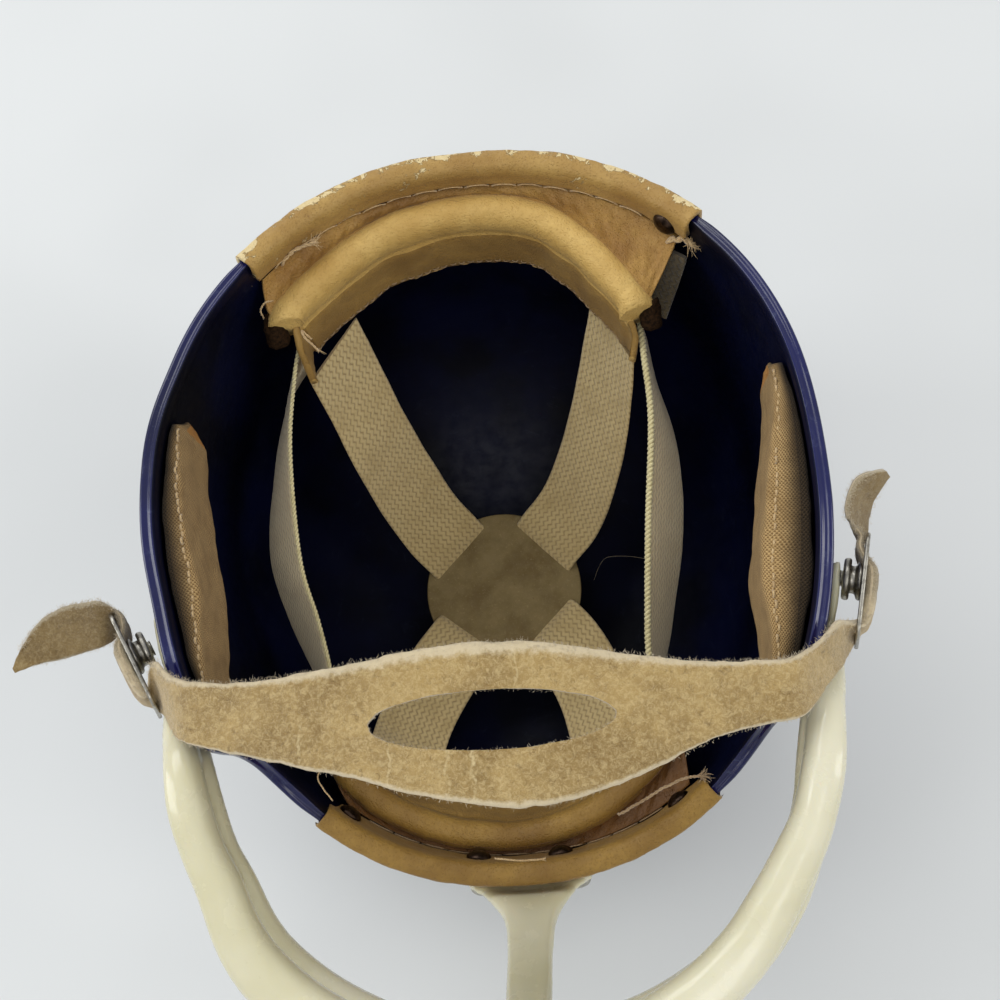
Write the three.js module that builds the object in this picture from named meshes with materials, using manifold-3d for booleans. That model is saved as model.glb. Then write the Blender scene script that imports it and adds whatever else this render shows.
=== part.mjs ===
// A youth football helmet lying upside down on its crown, in millimetres.
//
// Every piece is built in the helmet's own frame: +X is the wearer's right, -Y the forehead and face mask,
// +Y the nape, +Z from the crown towards the opening. The last group turns the whole helmet into the attitude
// in which it lies on a flat surface at z = 0.

import * as THREE from 'three';
import Module from 'manifold-3d';
import { mergeVertices } from 'three/addons/utils/BufferGeometryUtils.js';

const wasm = await Module();
wasm.setup();

// Driving dimensions of the shell.
const HALF_WIDTH = 107;
const HALF_LENGTH = 122;
const LENGTH_SHIFT = 1;
const WIDEST_HEIGHT = 104;
const PLAN_POWER = 2.2;
const DOME_POWER = 2.35;
const DOME_RUN = 150;
const FLANK_TAPER = 4.5;
const TAPER_REACH = 84;
const WALL = 3.5;

// The worn shell stands a little wider round the ear on its -X side.
const WIDER = { angle: -94, by: 2.2, within: 2, until: 18 };

const SHELL_COLUMNS = 60;
const OUTER_ROWS = 9;
const INNER_ROWS = 8;

// Leather, webbing and clearances.
const LEATHER = 1.5;
const WEBBING = 1.4;
const SEAT = 0.35;
const SEAT_INSIDE = 1.05;
const BEAD_OUT = 0.9;
const BEAD_REACH = 6;

// Where the folded leather begins and ends on the rim, and how far it reaches down each side of the wall.
const BROW_END = 36.5;
const NAPE_START = 134;
const BROW_BINDING = { outside: 11, inside: 14 };
const NAPE_BINDING = { outside: 11, inside: 8.5 };

// Crown disc.
const DISC = { x: -3, y: -9, z: 40.5, radius: 33.4, thickness: 1.6 };
const SLIT = { radius: 24.5, length: 34, width: 4.6 };

// How the helmet lies: it leans towards the face mask and stands on a small flat worn into its crown.
const REST_PITCH = 6.5;
const CROWN_FLAT = 0.5;

const COLOURS = {
  shell: { color: 0x10164a, roughness: 0.28, metalness: 0 },
  leather: { color: 0xc79a55, roughness: 0.6, metalness: 0 },
  darkLeather: { color: 0xa97c43, roughness: 0.65, metalness: 0 },
  webbing: { color: 0xb3a17a, roughness: 0.9, metalness: 0 },
  canvas: { color: 0xb59a6c, roughness: 0.9, metalness: 0 },
  disc: { color: 0x857246, roughness: 0.75, metalness: 0 },
  suede: { color: 0xb08f58, roughness: 0.95, metalness: 0 },
  mask: { color: 0xe6e2c8, roughness: 0.3, metalness: 0 },
  nickel: { color: 0x8c8a82, roughness: 0.35, metalness: 1 },
  bronze: { color: 0x4a342a, roughness: 0.4, metalness: 1 },
};

const helmet = new THREE.Group();

// Small tools.

const vec = (x, y, z) => new THREE.Vector3(x, y, z);
const UP = vec(0, 0, 1);
const radians = THREE.MathUtils.degToRad;
const lerp = THREE.MathUtils.lerp;

function addPiece(name, geometry, colour) {
  const mesh = new THREE.Mesh(geometry, new THREE.MeshStandardMaterial(COLOURS[colour]));
  mesh.name = name;
  helmet.add(mesh);
  return mesh;
}

// Smooth reading of a table whose rows are sorted by one column.
function read(table, key, value) {
  const last = table.length - 1;
  const at = THREE.MathUtils.clamp(value, table[0][key], table[last][key]);
  let i = 0;
  while (i < last - 1 && at > table[i + 1][key]) i += 1;
  const [from, to] = [table[i], table[i + 1]];
  const before = table[Math.max(i - 1, 0)];
  const after = table[Math.min(i + 2, last)];
  const span = to[key] - from[key];
  const s = (at - from[key]) / span;
  const row = {};
  for (const column of Object.keys(from)) {
    const slopeFrom = (to[column] - before[column]) / (to[key] - before[key]);
    const slopeTo = (after[column] - from[column]) / (after[key] - from[key]);
    const rise = (2 * s ** 3 - 3 * s ** 2 + 1) * from[column] + (3 * s ** 2 - 2 * s ** 3) * to[column];
    row[column] = rise + span * ((s ** 3 - 2 * s ** 2 + s) * slopeFrom + (s ** 3 - s ** 2) * slopeTo);
  }
  return row;
}

// The same table, read along its own rows, from 0 at the first to 1 at the last.
function along(table, fraction) {
  const numbered = table.map((row, index) => ({ ...row, index }));
  return read(numbered, 'index', fraction * (table.length - 1));
}

// A closed body from its corner points and triangles, turned so that its faces point out.
function body(points, triangles) {
  let volume = 0;
  for (const [a, b, c] of triangles) {
    volume += points[a].dot(points[b].clone().cross(points[c]));
  }
  const faces = volume > 0 ? triangles : triangles.map(([a, b, c]) => [a, c, b]);
  const geometry = new THREE.BufferGeometry();
  geometry.setAttribute('position', new THREE.Float32BufferAttribute(points.flatMap((p) => p.toArray()), 3));
  geometry.setIndex(faces.flat());
  geometry.computeVertexNormals();
  return geometry;
}

function ringFaces(from, to, count) {
  const faces = [];
  for (let i = 0; i < count; i += 1) {
    const next = (i + 1) % count;
    faces.push([from + i, from + next, to + next], [from + i, to + next, to + i]);
  }
  return faces;
}

// Triangles across an outline. The corners are nudged first, so that those on a straight side are used too.
function capFaces(outline) {
  const nudge = 1e-3;
  const turn = 2.4;
  const nudged = outline.map(({ x, y }, i) => {
    return new THREE.Vector2(x + nudge * Math.cos(turn * i), y + nudge * Math.sin(turn * i));
  });
  const windsAs = (points) => Math.sign(THREE.ShapeUtils.area(points));
  return THREE.ShapeUtils.triangulateShape(nudged, []).map(([a, b, c]) => {
    const same = windsAs([nudged[a], nudged[b], nudged[c]]) === windsAs(nudged);
    return same ? [a, b, c] : [a, c, b];
  });
}

// An outline carried through a number of stations: place(fraction, corner) gives each corner's point.
function sweep(outline, steps, place) {
  const points = [];
  const faces = [];
  for (let step = 0; step <= steps; step += 1) {
    outline.forEach((corner) => points.push(place(step / steps, corner)));
  }
  for (let step = 0; step < steps; step += 1) {
    faces.push(...ringFaces(step * outline.length, (step + 1) * outline.length, outline.length));
  }
  const end = steps * outline.length;
  capFaces(outline).forEach(([a, b, c]) => faces.push([a, c, b], [end + a, end + b, end + c]));
  return body(points, faces);
}

const corners = (list) => list.map(([x, y]) => new THREE.Vector2(x, y));

function ellipseOutline(sides) {
  const outline = [];
  for (let i = 0; i < sides; i += 1) {
    const turn = (2 * Math.PI * i) / sides;
    outline.push(new THREE.Vector2(Math.cos(turn), Math.sin(turn)));
  }
  return outline;
}

// Joins and cuts.

function toSolid(geometry) {
  const bare = geometry.clone();
  bare.deleteAttribute('normal');
  bare.deleteAttribute('uv');
  const merged = mergeVertices(bare, 1e-4);
  return new wasm.Manifold(new wasm.Mesh({
    numProp: 3,
    vertProperties: new Float32Array(merged.attributes.position.array),
    triVerts: new Uint32Array(merged.index.array),
  }));
}

function fromSolid(solid) {
  const mesh = solid.getMesh();
  const geometry = new THREE.BufferGeometry();
  geometry.setAttribute('position', new THREE.Float32BufferAttribute(mesh.vertProperties, 3));
  geometry.setIndex(Array.from(mesh.triVerts));
  geometry.computeVertexNormals();
  return geometry;
}

const join = (...geometries) => fromSolid(geometries.map(toSolid).reduce((whole, piece) => whole.add(piece)));

function cut(geometry, ...tools) {
  return fromSolid(tools.map(toSolid).reduce((whole, tool) => whole.subtract(tool), toSolid(geometry)));
}

// The shell's outer surface. angle goes from the centre front (0) to the nape (180), negative on the -X side;
// run is the distance from the crown along the wall.

const signedPower = (value, power) => Math.sign(value) * Math.abs(value) ** power;

function wallPoint(angle, run) {
  const lift = radians((90 * Math.min(run, DOME_RUN)) / DOME_RUN);
  const above = Math.max(run - DOME_RUN, 0);
  const height = WIDEST_HEIGHT * (1 - Math.cos(lift) ** (2 / DOME_POWER)) + above;
  const spread = Math.sin(lift) ** (2 / DOME_POWER);
  const halfWidth = (HALF_WIDTH - FLANK_TAPER * (above / TAPER_REACH) ** 2) * spread;
  const wider = 1 - THREE.MathUtils.smoothstep(Math.abs(angle - WIDER.angle), WIDER.within, WIDER.until);
  const x = halfWidth * signedPower(Math.sin(radians(angle)), 2 / PLAN_POWER) - WIDER.by * wider * spread;
  const y = LENGTH_SHIFT - HALF_LENGTH * spread * signedPower(Math.cos(radians(angle)), 2 / PLAN_POWER);
  return vec(x, y, run < DOME_RUN ? height : WIDEST_HEIGHT + above);
}

function wallNormal(angle, run) {
  const aside = wallPoint(angle + 0.6, run).sub(wallPoint(angle - 0.6, run));
  const upward = wallPoint(angle, run + 0.8).sub(wallPoint(angle, Math.max(run - 0.8, 0.2)));
  return aside.cross(upward).normalize();
}

const runAtHeight = (height) => DOME_RUN + height - WIDEST_HEIGHT;

// The edge of the opening. turn numbers the columns of the wall; angle and height say where each one ends.
const EDGE = [
  { turn: 0, angle: 0, height: 106.5 },
  { turn: 20, angle: 20, height: 106.5 },
  { turn: 34, angle: 35, height: 109 },
  { turn: 40, angle: 42.5, height: 114 },
  { turn: 44.5, angle: 48, height: 119.5 },
  { turn: 48.5, angle: 52, height: 128 },
  { turn: 52, angle: 54, height: 142 },
  { turn: 55.5, angle: 54.3, height: 158 },
  { turn: 59, angle: 55, height: 171 },
  { turn: 62.5, angle: 58, height: 177 },
  { turn: 67, angle: 64.5, height: 178.5 },
  { turn: 76, angle: 75, height: 178.5 },
  { turn: 84, angle: 84, height: 180 },
  { turn: 90, angle: 90, height: 180 },
  { turn: 96, angle: 96, height: 180 },
  { turn: 102, angle: 102, height: 180 },
  { turn: 107, angle: 107, height: 179 },
  { turn: 117, angle: 117, height: 175.5 },
  { turn: 134, angle: 134, height: 169 },
  { turn: 150, angle: 150, height: 165 },
  { turn: 180, angle: 180, height: 163 },
];

function edge(turn) {
  const signed = turn > 180 ? turn - 360 : turn;
  const row = read(EDGE, 'turn', Math.abs(signed));
  return { angle: Math.sign(signed) * row.angle, run: runAtHeight(row.height) };
}

function edgePoint(turn) {
  const { angle, run } = edge(turn);
  return wallPoint(angle, run);
}

// A frame on the edge: outwards in plan, and beyond the edge in the wall's own surface.
function edgeFrame(turn) {
  const { angle, run } = edge(turn);
  const out = wallNormal(angle, run).setZ(0).normalize();
  const forward = edgePoint(turn + 0.3).sub(edgePoint(turn - 0.3));
  const beyond = out.clone().cross(forward).normalize();
  return { point: wallPoint(angle, run), out, beyond };
}

// A point near the wall: back is the distance from the edge down the wall, out is outwards from the shell.
function nearEdge(turn, back, out) {
  const frame = edgeFrame(turn);
  if (back <= BEAD_REACH) {
    return frame.point.addScaledVector(frame.out, out).addScaledVector(frame.beyond, -back);
  }
  const { angle, run } = edge(turn);
  return wallPoint(angle, run - back).addScaledVector(wallNormal(angle, run - back), out);
}

function beadAt(turn) {
  const size = Math.abs(turn > 180 ? turn - 360 : turn);
  const rise = THREE.MathUtils.smoothstep(size, BROW_END, BROW_END + 4);
  return rise * (1 - THREE.MathUtils.smoothstep(size, NAPE_START - 4, NAPE_START));
}

// The rim's section, from the outer wall over the edge to the inner wall: bead is what the bead adds.
const RIM_SECTION = [
  { out: 0, bead: 0, back: 6 },
  { out: 0, bead: 0.8, back: 4.6 },
  { out: 0, bead: 1, back: 2 },
  { out: -0.5, bead: 0.7, back: 0 },
  { out: -3, bead: -0.9, back: 0 },
  { out: -3.5, bead: -1.3, back: 2 },
  { out: -3.5, bead: -1, back: 4.6 },
  { out: -3.5, bead: 0, back: 6 },
];

function shellColumnPoint(turn, row, rows, depth) {
  const { angle, run } = edge(turn);
  const part = row / rows;
  const here = lerp(turn, angle, part ** 3);
  const distance = part * (run - BEAD_REACH);
  return wallPoint(here, distance).addScaledVector(wallNormal(here, distance), -depth);
}

function shellGeometry() {
  const points = [vec(0, LENGTH_SHIFT, 0)];
  const loops = [];
  const addLoop = (pointAt) => {
    loops.push(points.length);
    for (let column = 0; column < SHELL_COLUMNS; column += 1) {
      points.push(pointAt((360 * column) / SHELL_COLUMNS - 180));
    }
  };
  for (let row = 1; row < OUTER_ROWS; row += 1) addLoop((turn) => shellColumnPoint(turn, row, OUTER_ROWS, 0));
  for (const { out, bead, back } of RIM_SECTION) {
    addLoop((turn) => nearEdge(turn, back, out + bead * beadAt(turn) * BEAD_OUT));
  }
  for (let row = INNER_ROWS - 1; row > 0; row -= 1) {
    addLoop((turn) => shellColumnPoint(turn, row, INNER_ROWS, WALL));
  }
  points.push(vec(0, LENGTH_SHIFT, WALL));
  const faces = [];
  for (let i = 1; i < loops.length; i += 1) faces.push(...ringFaces(loops[i - 1], loops[i], SHELL_COLUMNS));
  for (let i = 0; i < SHELL_COLUMNS; i += 1) {
    const next = (i + 1) % SHELL_COLUMNS;
    faces.push([0, loops[0] + next, loops[0] + i]);
    faces.push([points.length - 1, loops.at(-1) + i, loops.at(-1) + next]);
  }
  return body(points, faces);
}

// Things that stand on the wall: the piece's own +Z becomes the wall's outward (or inward) direction.
function standOn(geometry, point, direction) {
  const turned = new THREE.Quaternion().setFromUnitVectors(UP, direction);
  return geometry.applyMatrix4(new THREE.Matrix4().compose(point, turned, vec(1, 1, 1)));
}

const lathe = (profile, sides) => new THREE.LatheGeometry(corners(profile), sides).rotateX(Math.PI / 2);

const EAR = { angle: 87.5, height: 143, hole: 8, ring: 20, rise: 4.6 };
const EAR_PROFILE = [[0, -3.1], [EAR.ring, -3.1], [EAR.ring, 0.2], [17.5, 2.6], [16.2, 2.6], [15.2, 1.8],
  [12.5, EAR.rise], [10.5, EAR.rise], [9.5, 3.6], [0, 3.6]];

function shellWithEars() {
  const bosses = [];
  const holes = [];
  for (const side of [-1, 1]) {
    const run = runAtHeight(EAR.height);
    const point = wallPoint(side * EAR.angle, run);
    const normal = wallNormal(side * EAR.angle, run);
    bosses.push(standOn(lathe(EAR_PROFILE, 24), point, normal));
    const drill = new THREE.CylinderGeometry(EAR.hole, EAR.hole, 24, 16).rotateX(Math.PI / 2);
    holes.push(standOn(drill, point, normal));
  }
  return cut(join(shellGeometry(), ...bosses), ...holes);
}

// Leather folded over the edge.
function bindingGeometry(fromTurn, toTurn, steps, reach) {
  const inner = -WALL - SEAT_INSIDE;
  const skin = LEATHER;
  const outline = corners([
    [reach.outside, SEAT], [reach.outside, SEAT + skin], [5, SEAT + skin], [-0.2, SEAT + skin],
    [-SEAT - skin, -0.6], [-SEAT - skin, -WALL + 0.6], [-0.2, inner - skin], [5, inner - skin],
    [reach.inside, inner - skin], [reach.inside, inner], [5, inner], [-SEAT, inner], [-SEAT, SEAT], [5, SEAT],
  ]);
  return sweep(outline, steps, (fraction, corner) => {
    return nearEdge(lerp(fromTurn, toTurn, fraction), corner.x, corner.y);
  });
}

// Sweatbands: a padded roll with a flat apron that hangs from its inner side. roll is the roll's radius,
// apron how far the leather reaches below the roll's centre.
const NAPE_BAND = [
  { x: -63.5, y: 60, z: 128, roll: 1.4, apron: 4 },
  { x: -64.8, y: 68, z: 139, roll: 2.6, apron: 17 },
  { x: -65, y: 77, z: 146, roll: 5.2, apron: 25 },
  { x: -53.4, y: 90.1, z: 148, roll: 6, apron: 26 },
  { x: -39.3, y: 100.2, z: 148.5, roll: 6, apron: 26 },
  { x: -22.6, y: 106.8, z: 149, roll: 6, apron: 26 },
  { x: 0, y: 109.8, z: 149, roll: 6, apron: 26 },
  { x: 22.6, y: 105.8, z: 148.5, roll: 6, apron: 26 },
  { x: 36.7, y: 95.3, z: 148, roll: 6, apron: 26 },
  { x: 47.2, y: 82.5, z: 147.5, roll: 6, apron: 26 },
  { x: 55.2, y: 70.1, z: 146, roll: 5.2, apron: 25 },
  { x: 56.8, y: 62, z: 139, roll: 2.6, apron: 17 },
  { x: 55.4, y: 55, z: 130, roll: 1.4, apron: 4 },
];

const BROW_BAND = [
  { x: -66.5, y: -68, z: 84, roll: 1.4, apron: 6 },
  { x: -66, y: -76, z: 86, roll: 3.5, apron: 18 },
  { x: -61, y: -84.5, z: 87, roll: 5, apron: 24 },
  { x: -48, y: -95, z: 87, roll: 5, apron: 24 },
  { x: -31, y: -103, z: 87, roll: 5, apron: 24 },
  { x: -12.7, y: -107, z: 87, roll: 5, apron: 24 },
  { x: 5, y: -107.2, z: 87, roll: 5, apron: 24 },
  { x: 24.5, y: -102, z: 87, roll: 5, apron: 24 },
  { x: 42, y: -91.5, z: 87, roll: 5, apron: 24 },
  { x: 53, y: -81.5, z: 87, roll: 5, apron: 24 },
  { x: 58, y: -73, z: 86, roll: 3.5, apron: 18 },
  { x: 59.5, y: -65, z: 84, roll: 1.4, apron: 6 },
];

const BAND_STEPS = 22;
const ROLL_SIDES = 9;
const APRON = 2.4;

// The band's place at a fraction of its length, with the level direction towards the head.
function bandFrame(table, fraction) {
  const row = along(table, fraction);
  const ahead = along(table, Math.min(fraction + 0.01, 1));
  const behind = along(table, Math.max(fraction - 0.01, 0));
  const direction = vec(ahead.x - behind.x, ahead.y - behind.y, 0).normalize();
  const inward = UP.clone().cross(direction);
  if (inward.dot(vec(row.x, row.y, 0)) > 0) inward.negate();
  return { row, point: vec(row.x, row.y, row.z), inward };
}

function sweatbandGeometry(table) {
  const outline = [];
  for (let i = 0; i < ROLL_SIDES + 2; i += 1) outline.push(new THREE.Vector2(i, 0));
  const shape = (row, index) => {
    const back = row.roll - APRON;
    if (index === ROLL_SIDES) return [back, -row.apron];
    if (index === ROLL_SIDES + 1) return [row.roll, -row.apron];
    const end = 2 * Math.PI - Math.acos(Math.max(back / row.roll, -1));
    const turn = (end * index) / (ROLL_SIDES - 1);
    return [row.roll * Math.cos(turn), row.roll * Math.sin(turn)];
  };
  const middle = along(table, 0.5);
  const cap = outline.map((corner) => new THREE.Vector2(...shape(middle, corner.x)));
  const points = [];
  const faces = [];
  for (let step = 0; step <= BAND_STEPS; step += 1) {
    const { row, point, inward } = bandFrame(table, step / BAND_STEPS);
    outline.forEach((corner) => {
      const [inwards, upwards] = shape(row, corner.x);
      points.push(point.clone().addScaledVector(inward, inwards).addScaledVector(UP, upwards));
    });
    const ring = step * outline.length;
    if (step > 0) faces.push(...ringFaces(ring - outline.length, ring, outline.length));
  }
  const end = BAND_STEPS * outline.length;
  capFaces(cap).forEach(([a, b, c]) => faces.push([a, c, b], [end + a, end + b, end + c]));
  return body(points, faces);
}

// Flat strips: each station gives both edges, and the strip's thickness lies evenly on both faces.
function ribbonGeometry(stationAt, steps, thickness) {
  const stations = [];
  for (let step = 0; step <= steps; step += 1) stations.push(stationAt(step / steps));
  const middle = ({ near, far }) => near.clone().add(far).multiplyScalar(0.5);
  const points = [];
  stations.forEach((station, index) => {
    const ahead = middle(stations[Math.min(index + 1, steps)]);
    const direction = ahead.sub(middle(stations[Math.max(index - 1, 0)]));
    const across = station.far.clone().sub(station.near);
    const face = direction.cross(across).normalize().multiplyScalar(thickness / 2);
    points.push(station.near.clone().add(face), station.far.clone().add(face));
    points.push(station.far.clone().sub(face), station.near.clone().sub(face));
  });
  const faces = [[0, 2, 1], [0, 3, 2]];
  for (let step = 0; step < steps; step += 1) faces.push(...ringFaces(step * 4, step * 4 + 4, 4));
  const end = steps * 4;
  faces.push([end, end + 1, end + 2], [end, end + 2, end + 3]);
  return body(points, faces);
}

function edgesFrom(table) {
  return (fraction) => {
    const row = along(table, fraction);
    return { near: vec(row.nearX, row.nearY, row.nearZ), far: vec(row.farX, row.farY, row.farZ) };
  };
}

// The leather web from the binding's inner leg (or the wall below it) to the sweatband's roll. back is the
// depth below the edge where it starts, inset how far in from the shell's outer surface.
function gussetGeometry(table, { fromTurn, toTurn, back, inset, bandFrom, bandTo }) {
  return ribbonGeometry((fraction) => {
    const { row, point, inward } = bandFrame(table, lerp(bandFrom, bandTo, fraction));
    const reach = row.roll + 1.1;
    const onRoll = point.addScaledVector(inward, -reach * 0.75).addScaledVector(UP, reach * 0.66);
    return { near: nearEdge(lerp(fromTurn, toTurn, fraction), back, -inset), far: onRoll };
  }, 22, 1.1);
}

// Rivets and screw heads.
const DOME_PROFILE = [[0, 0], [4.4, 0], [4.1, 0.9], [2.4, 1.9], [0, 2.2]];
const DOME_SIDES = 10;

function headOnWall(turn, back, depth, inwards) {
  const { angle, run } = edge(turn);
  const normal = wallNormal(angle, run - back);
  const point = wallPoint(angle, run - back).addScaledVector(normal, depth);
  return standOn(lathe(DOME_PROFILE, DOME_SIDES), point, inwards ? normal.negate() : normal);
}

// The fibre disc under the crown of the head, with its four slits.
const SLIT_ANGLES = { rearLeft: 135, rearRight: 43, frontLeft: 230, frontRight: 315 };

function discGeometry() {
  const plain = new THREE.CylinderGeometry(DISC.radius, DISC.radius, DISC.thickness, 36).rotateX(Math.PI / 2);
  const slits = Object.values(SLIT_ANGLES).map((angle) => {
    const slit = new THREE.BoxGeometry(SLIT.width, SLIT.length, 3 * DISC.thickness);
    return slit.translate(SLIT.radius, 0, 0).rotateZ(radians(angle));
  });
  return cut(plain, ...slits).translate(DISC.x, DISC.y, DISC.z);
}

// Webbing from nape to brow. Each row is a station of the strap's middle line, with the compass bearing
// of its width and the width itself.
const STRAP_A = [
  { x: -56.8, y: 74.6, z: 120, bearing: 54, width: 31 },
  { x: -52.1, y: 62.8, z: 105, bearing: 53, width: 31 },
  { x: -46.5, y: 48.5, z: 89, bearing: 50, width: 31 },
  { x: -39.8, y: 34.5, z: 68.5, bearing: 47, width: 31 },
  { x: -31.4, y: 20.5, z: 52.5, bearing: 45, width: 31 },
  { x: -23.6, y: 11.6, z: 44.6, bearing: 45, width: 31 },
  { x: -20.2, y: 8.2, z: 40.5, bearing: 45, width: 31 },
  { x: -16.5, y: 4.5, z: 37.4, bearing: 45, width: 31 },
  { x: -3, y: -9, z: 36.9, bearing: 45, width: 31 },
  { x: 10.5, y: -22.5, z: 37.4, bearing: 45, width: 31 },
  { x: 14.2, y: -26.2, z: 40.5, bearing: 45, width: 31 },
  { x: 17.6, y: -29.6, z: 44.4, bearing: 44, width: 31 },
  { x: 24.5, y: -40, z: 48.5, bearing: 40, width: 31 },
  { x: 31, y: -56, z: 54, bearing: 34, width: 31 },
  { x: 34.5, y: -73, z: 63, bearing: 30, width: 31 },
  { x: 35.2, y: -82, z: 74, bearing: 33, width: 31 },
];

const STRAP_B = [
  { x: 49.2, y: 72.6, z: 120, bearing: -65, width: 31 },
  { x: 46.8, y: 62.2, z: 107, bearing: -60, width: 31 },
  { x: 43.2, y: 49.3, z: 91.5, bearing: -55, width: 31 },
  { x: 37, y: 34, z: 72, bearing: -52, width: 31 },
  { x: 28.5, y: 20.5, z: 54, bearing: -48, width: 31 },
  { x: 18.3, y: 10.9, z: 44.6, bearing: -47, width: 31 },
  { x: 14.9, y: 7.7, z: 40.5, bearing: -47, width: 31 },
  { x: 11.5, y: 4.6, z: 35.2, bearing: -47, width: 31 },
  { x: -3, y: -9, z: 34.7, bearing: -44, width: 31 },
  { x: -15.6, y: -24, z: 35.2, bearing: -40, width: 31 },
  { x: -18.7, y: -27.8, z: 40.5, bearing: -40, width: 31 },
  { x: -21.6, y: -31.2, z: 44.4, bearing: -40, width: 31 },
  { x: -30, y: -42, z: 48.5, bearing: -38, width: 31 },
  { x: -38.5, y: -56, z: 54, bearing: -36, width: 31 },
  { x: -43.5, y: -70, z: 63, bearing: -36, width: 31 },
  { x: -44.5, y: -78, z: 74, bearing: -37, width: 31 },
];

function edgesFromBearing(table) {
  return (fraction) => {
    const row = along(table, fraction);
    const bearing = radians(row.bearing);
    const half = vec(Math.cos(bearing), Math.sin(bearing), 0).multiplyScalar(row.width / 2);
    const middle = vec(row.x, row.y, row.z);
    return { near: middle.clone().sub(half), far: middle.clone().add(half) };
  };
}

// Webbing along the sides: near is the edge towards the opening, far the edge towards the crown.
const SIDE_LEFT = [
  { nearX: -66.5, nearY: 73, nearZ: 132.5, farX: -69.5, farY: 75, farZ: 106 },
  { nearX: -69, nearY: 60, nearZ: 132, farX: -80, farY: 58, farZ: 103 },
  { nearX: -72.2, nearY: 33, nearZ: 128, farX: -87.5, farY: 24, farZ: 98 },
  { nearX: -72, nearY: -5, nearZ: 118, farX: -90, farY: 0, farZ: 92 },
  { nearX: -67.8, nearY: -27, nearZ: 110, farX: -85, farY: -22, farZ: 85 },
  { nearX: -65.3, nearY: -44, nearZ: 104, farX: -78.3, farY: -40, farZ: 78 },
  { nearX: -65.3, nearY: -58, nearZ: 99, farX: -71, farY: -57, farZ: 70 },
  { nearX: -61.2, nearY: -73, nearZ: 94, farX: -61.2, farY: -72, farZ: 64 },
];

const SIDE_RIGHT = [
  { nearX: 58.2, nearY: 70, nearZ: 132, farX: 62.5, farY: 71.5, farZ: 106 },
  { nearX: 58.4, nearY: 56, nearZ: 131.5, farX: 64.5, farY: 56, farZ: 104 },
  { nearX: 58.8, nearY: 33, nearZ: 127, farX: 70.5, farY: 30, farZ: 98 },
  { nearX: 54.8, nearY: -1.5, nearZ: 118, farX: 70, farY: 0, farZ: 91 },
  { nearX: 52.2, nearY: -29, nearZ: 110, farX: 64.7, farY: -26, farZ: 84 },
  { nearX: 51, nearY: -46, nearZ: 105, farX: 60, farY: -45, farZ: 77 },
  { nearX: 52, nearY: -58, nearZ: 100, farX: 56, farY: -58, farZ: 71 },
  { nearX: 51.5, nearY: -71, nearZ: 95, farX: 52, farY: -71, farZ: 65 },
];

const NAPE_TAPE = [
  { nearX: 61, nearY: 91.5, nearZ: 152, farX: 74.5, farY: 82, farZ: 152 },
  { nearX: 60, nearY: 86, nearZ: 141, farX: 72, farY: 77, farZ: 139 },
  { nearX: 58, nearY: 80, nearZ: 130, farX: 68.5, farY: 71.5, farZ: 127 },
];

// Jaw pads: standoff is how far the pad leans off the inner wall at its upper edge.
const PAD_SEAT = 0.55;
const PAD_LEFT = [
  { turn: -101, standoff: 0.4, thick: 4, top: 6, bottom: 34 },
  { turn: -95, standoff: 0.5, thick: 5.5, top: 7, bottom: 42 },
  { turn: -88, standoff: 0.8, thick: 6, top: 8, bottom: 45 },
  { turn: -80, standoff: 1.2, thick: 6, top: 8, bottom: 45 },
  { turn: -73, standoff: 1.5, thick: 6, top: 8, bottom: 44 },
  { turn: -67, standoff: 1.2, thick: 5.5, top: 9, bottom: 40 },
  { turn: -62, standoff: 0.6, thick: 4, top: 11, bottom: 34 },
];

const PAD_RIGHT = [
  { turn: 105, standoff: 0.4, thick: 4, top: 8, bottom: 38 },
  { turn: 98, standoff: 0.8, thick: 7, top: 8, bottom: 48 },
  { turn: 90, standoff: 1.4, thick: 10.5, top: 8, bottom: 52 },
  { turn: 82, standoff: 2.2, thick: 12, top: 8, bottom: 52 },
  { turn: 75, standoff: 2.4, thick: 11.5, top: 8, bottom: 50 },
  { turn: 68, standoff: 1.8, thick: 9, top: 9, bottom: 46 },
  { turn: 62, standoff: 1, thick: 5, top: 11, bottom: 38 },
];

function padGeometry(table) {
  // Down the pad (0 at the top, 1 at the bottom) and through it (0 at the back, 1 towards the head).
  const outline = corners([[0, 0.25], [0, 0.75], [0.05, 1], [0.35, 1], [0.65, 1], [0.93, 0.95], [1, 0.7],
    [1, 0.3], [0.93, 0.05], [0.6, 0], [0.3, 0], [0.05, 0]]);
  return sweep(outline, 14, (fraction, corner) => {
    const row = along(table, fraction);
    const back = lerp(row.top, row.bottom, corner.x);
    const standoff = lerp(row.standoff, PAD_SEAT, Math.min(corner.x * 1.3, 1));
    const out = -WALL - PAD_SEAT - standoff - row.thick * corner.y;
    return nearEdge(row.turn, Math.max(back, BEAD_REACH + 0.1), out);
  });
}

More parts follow.
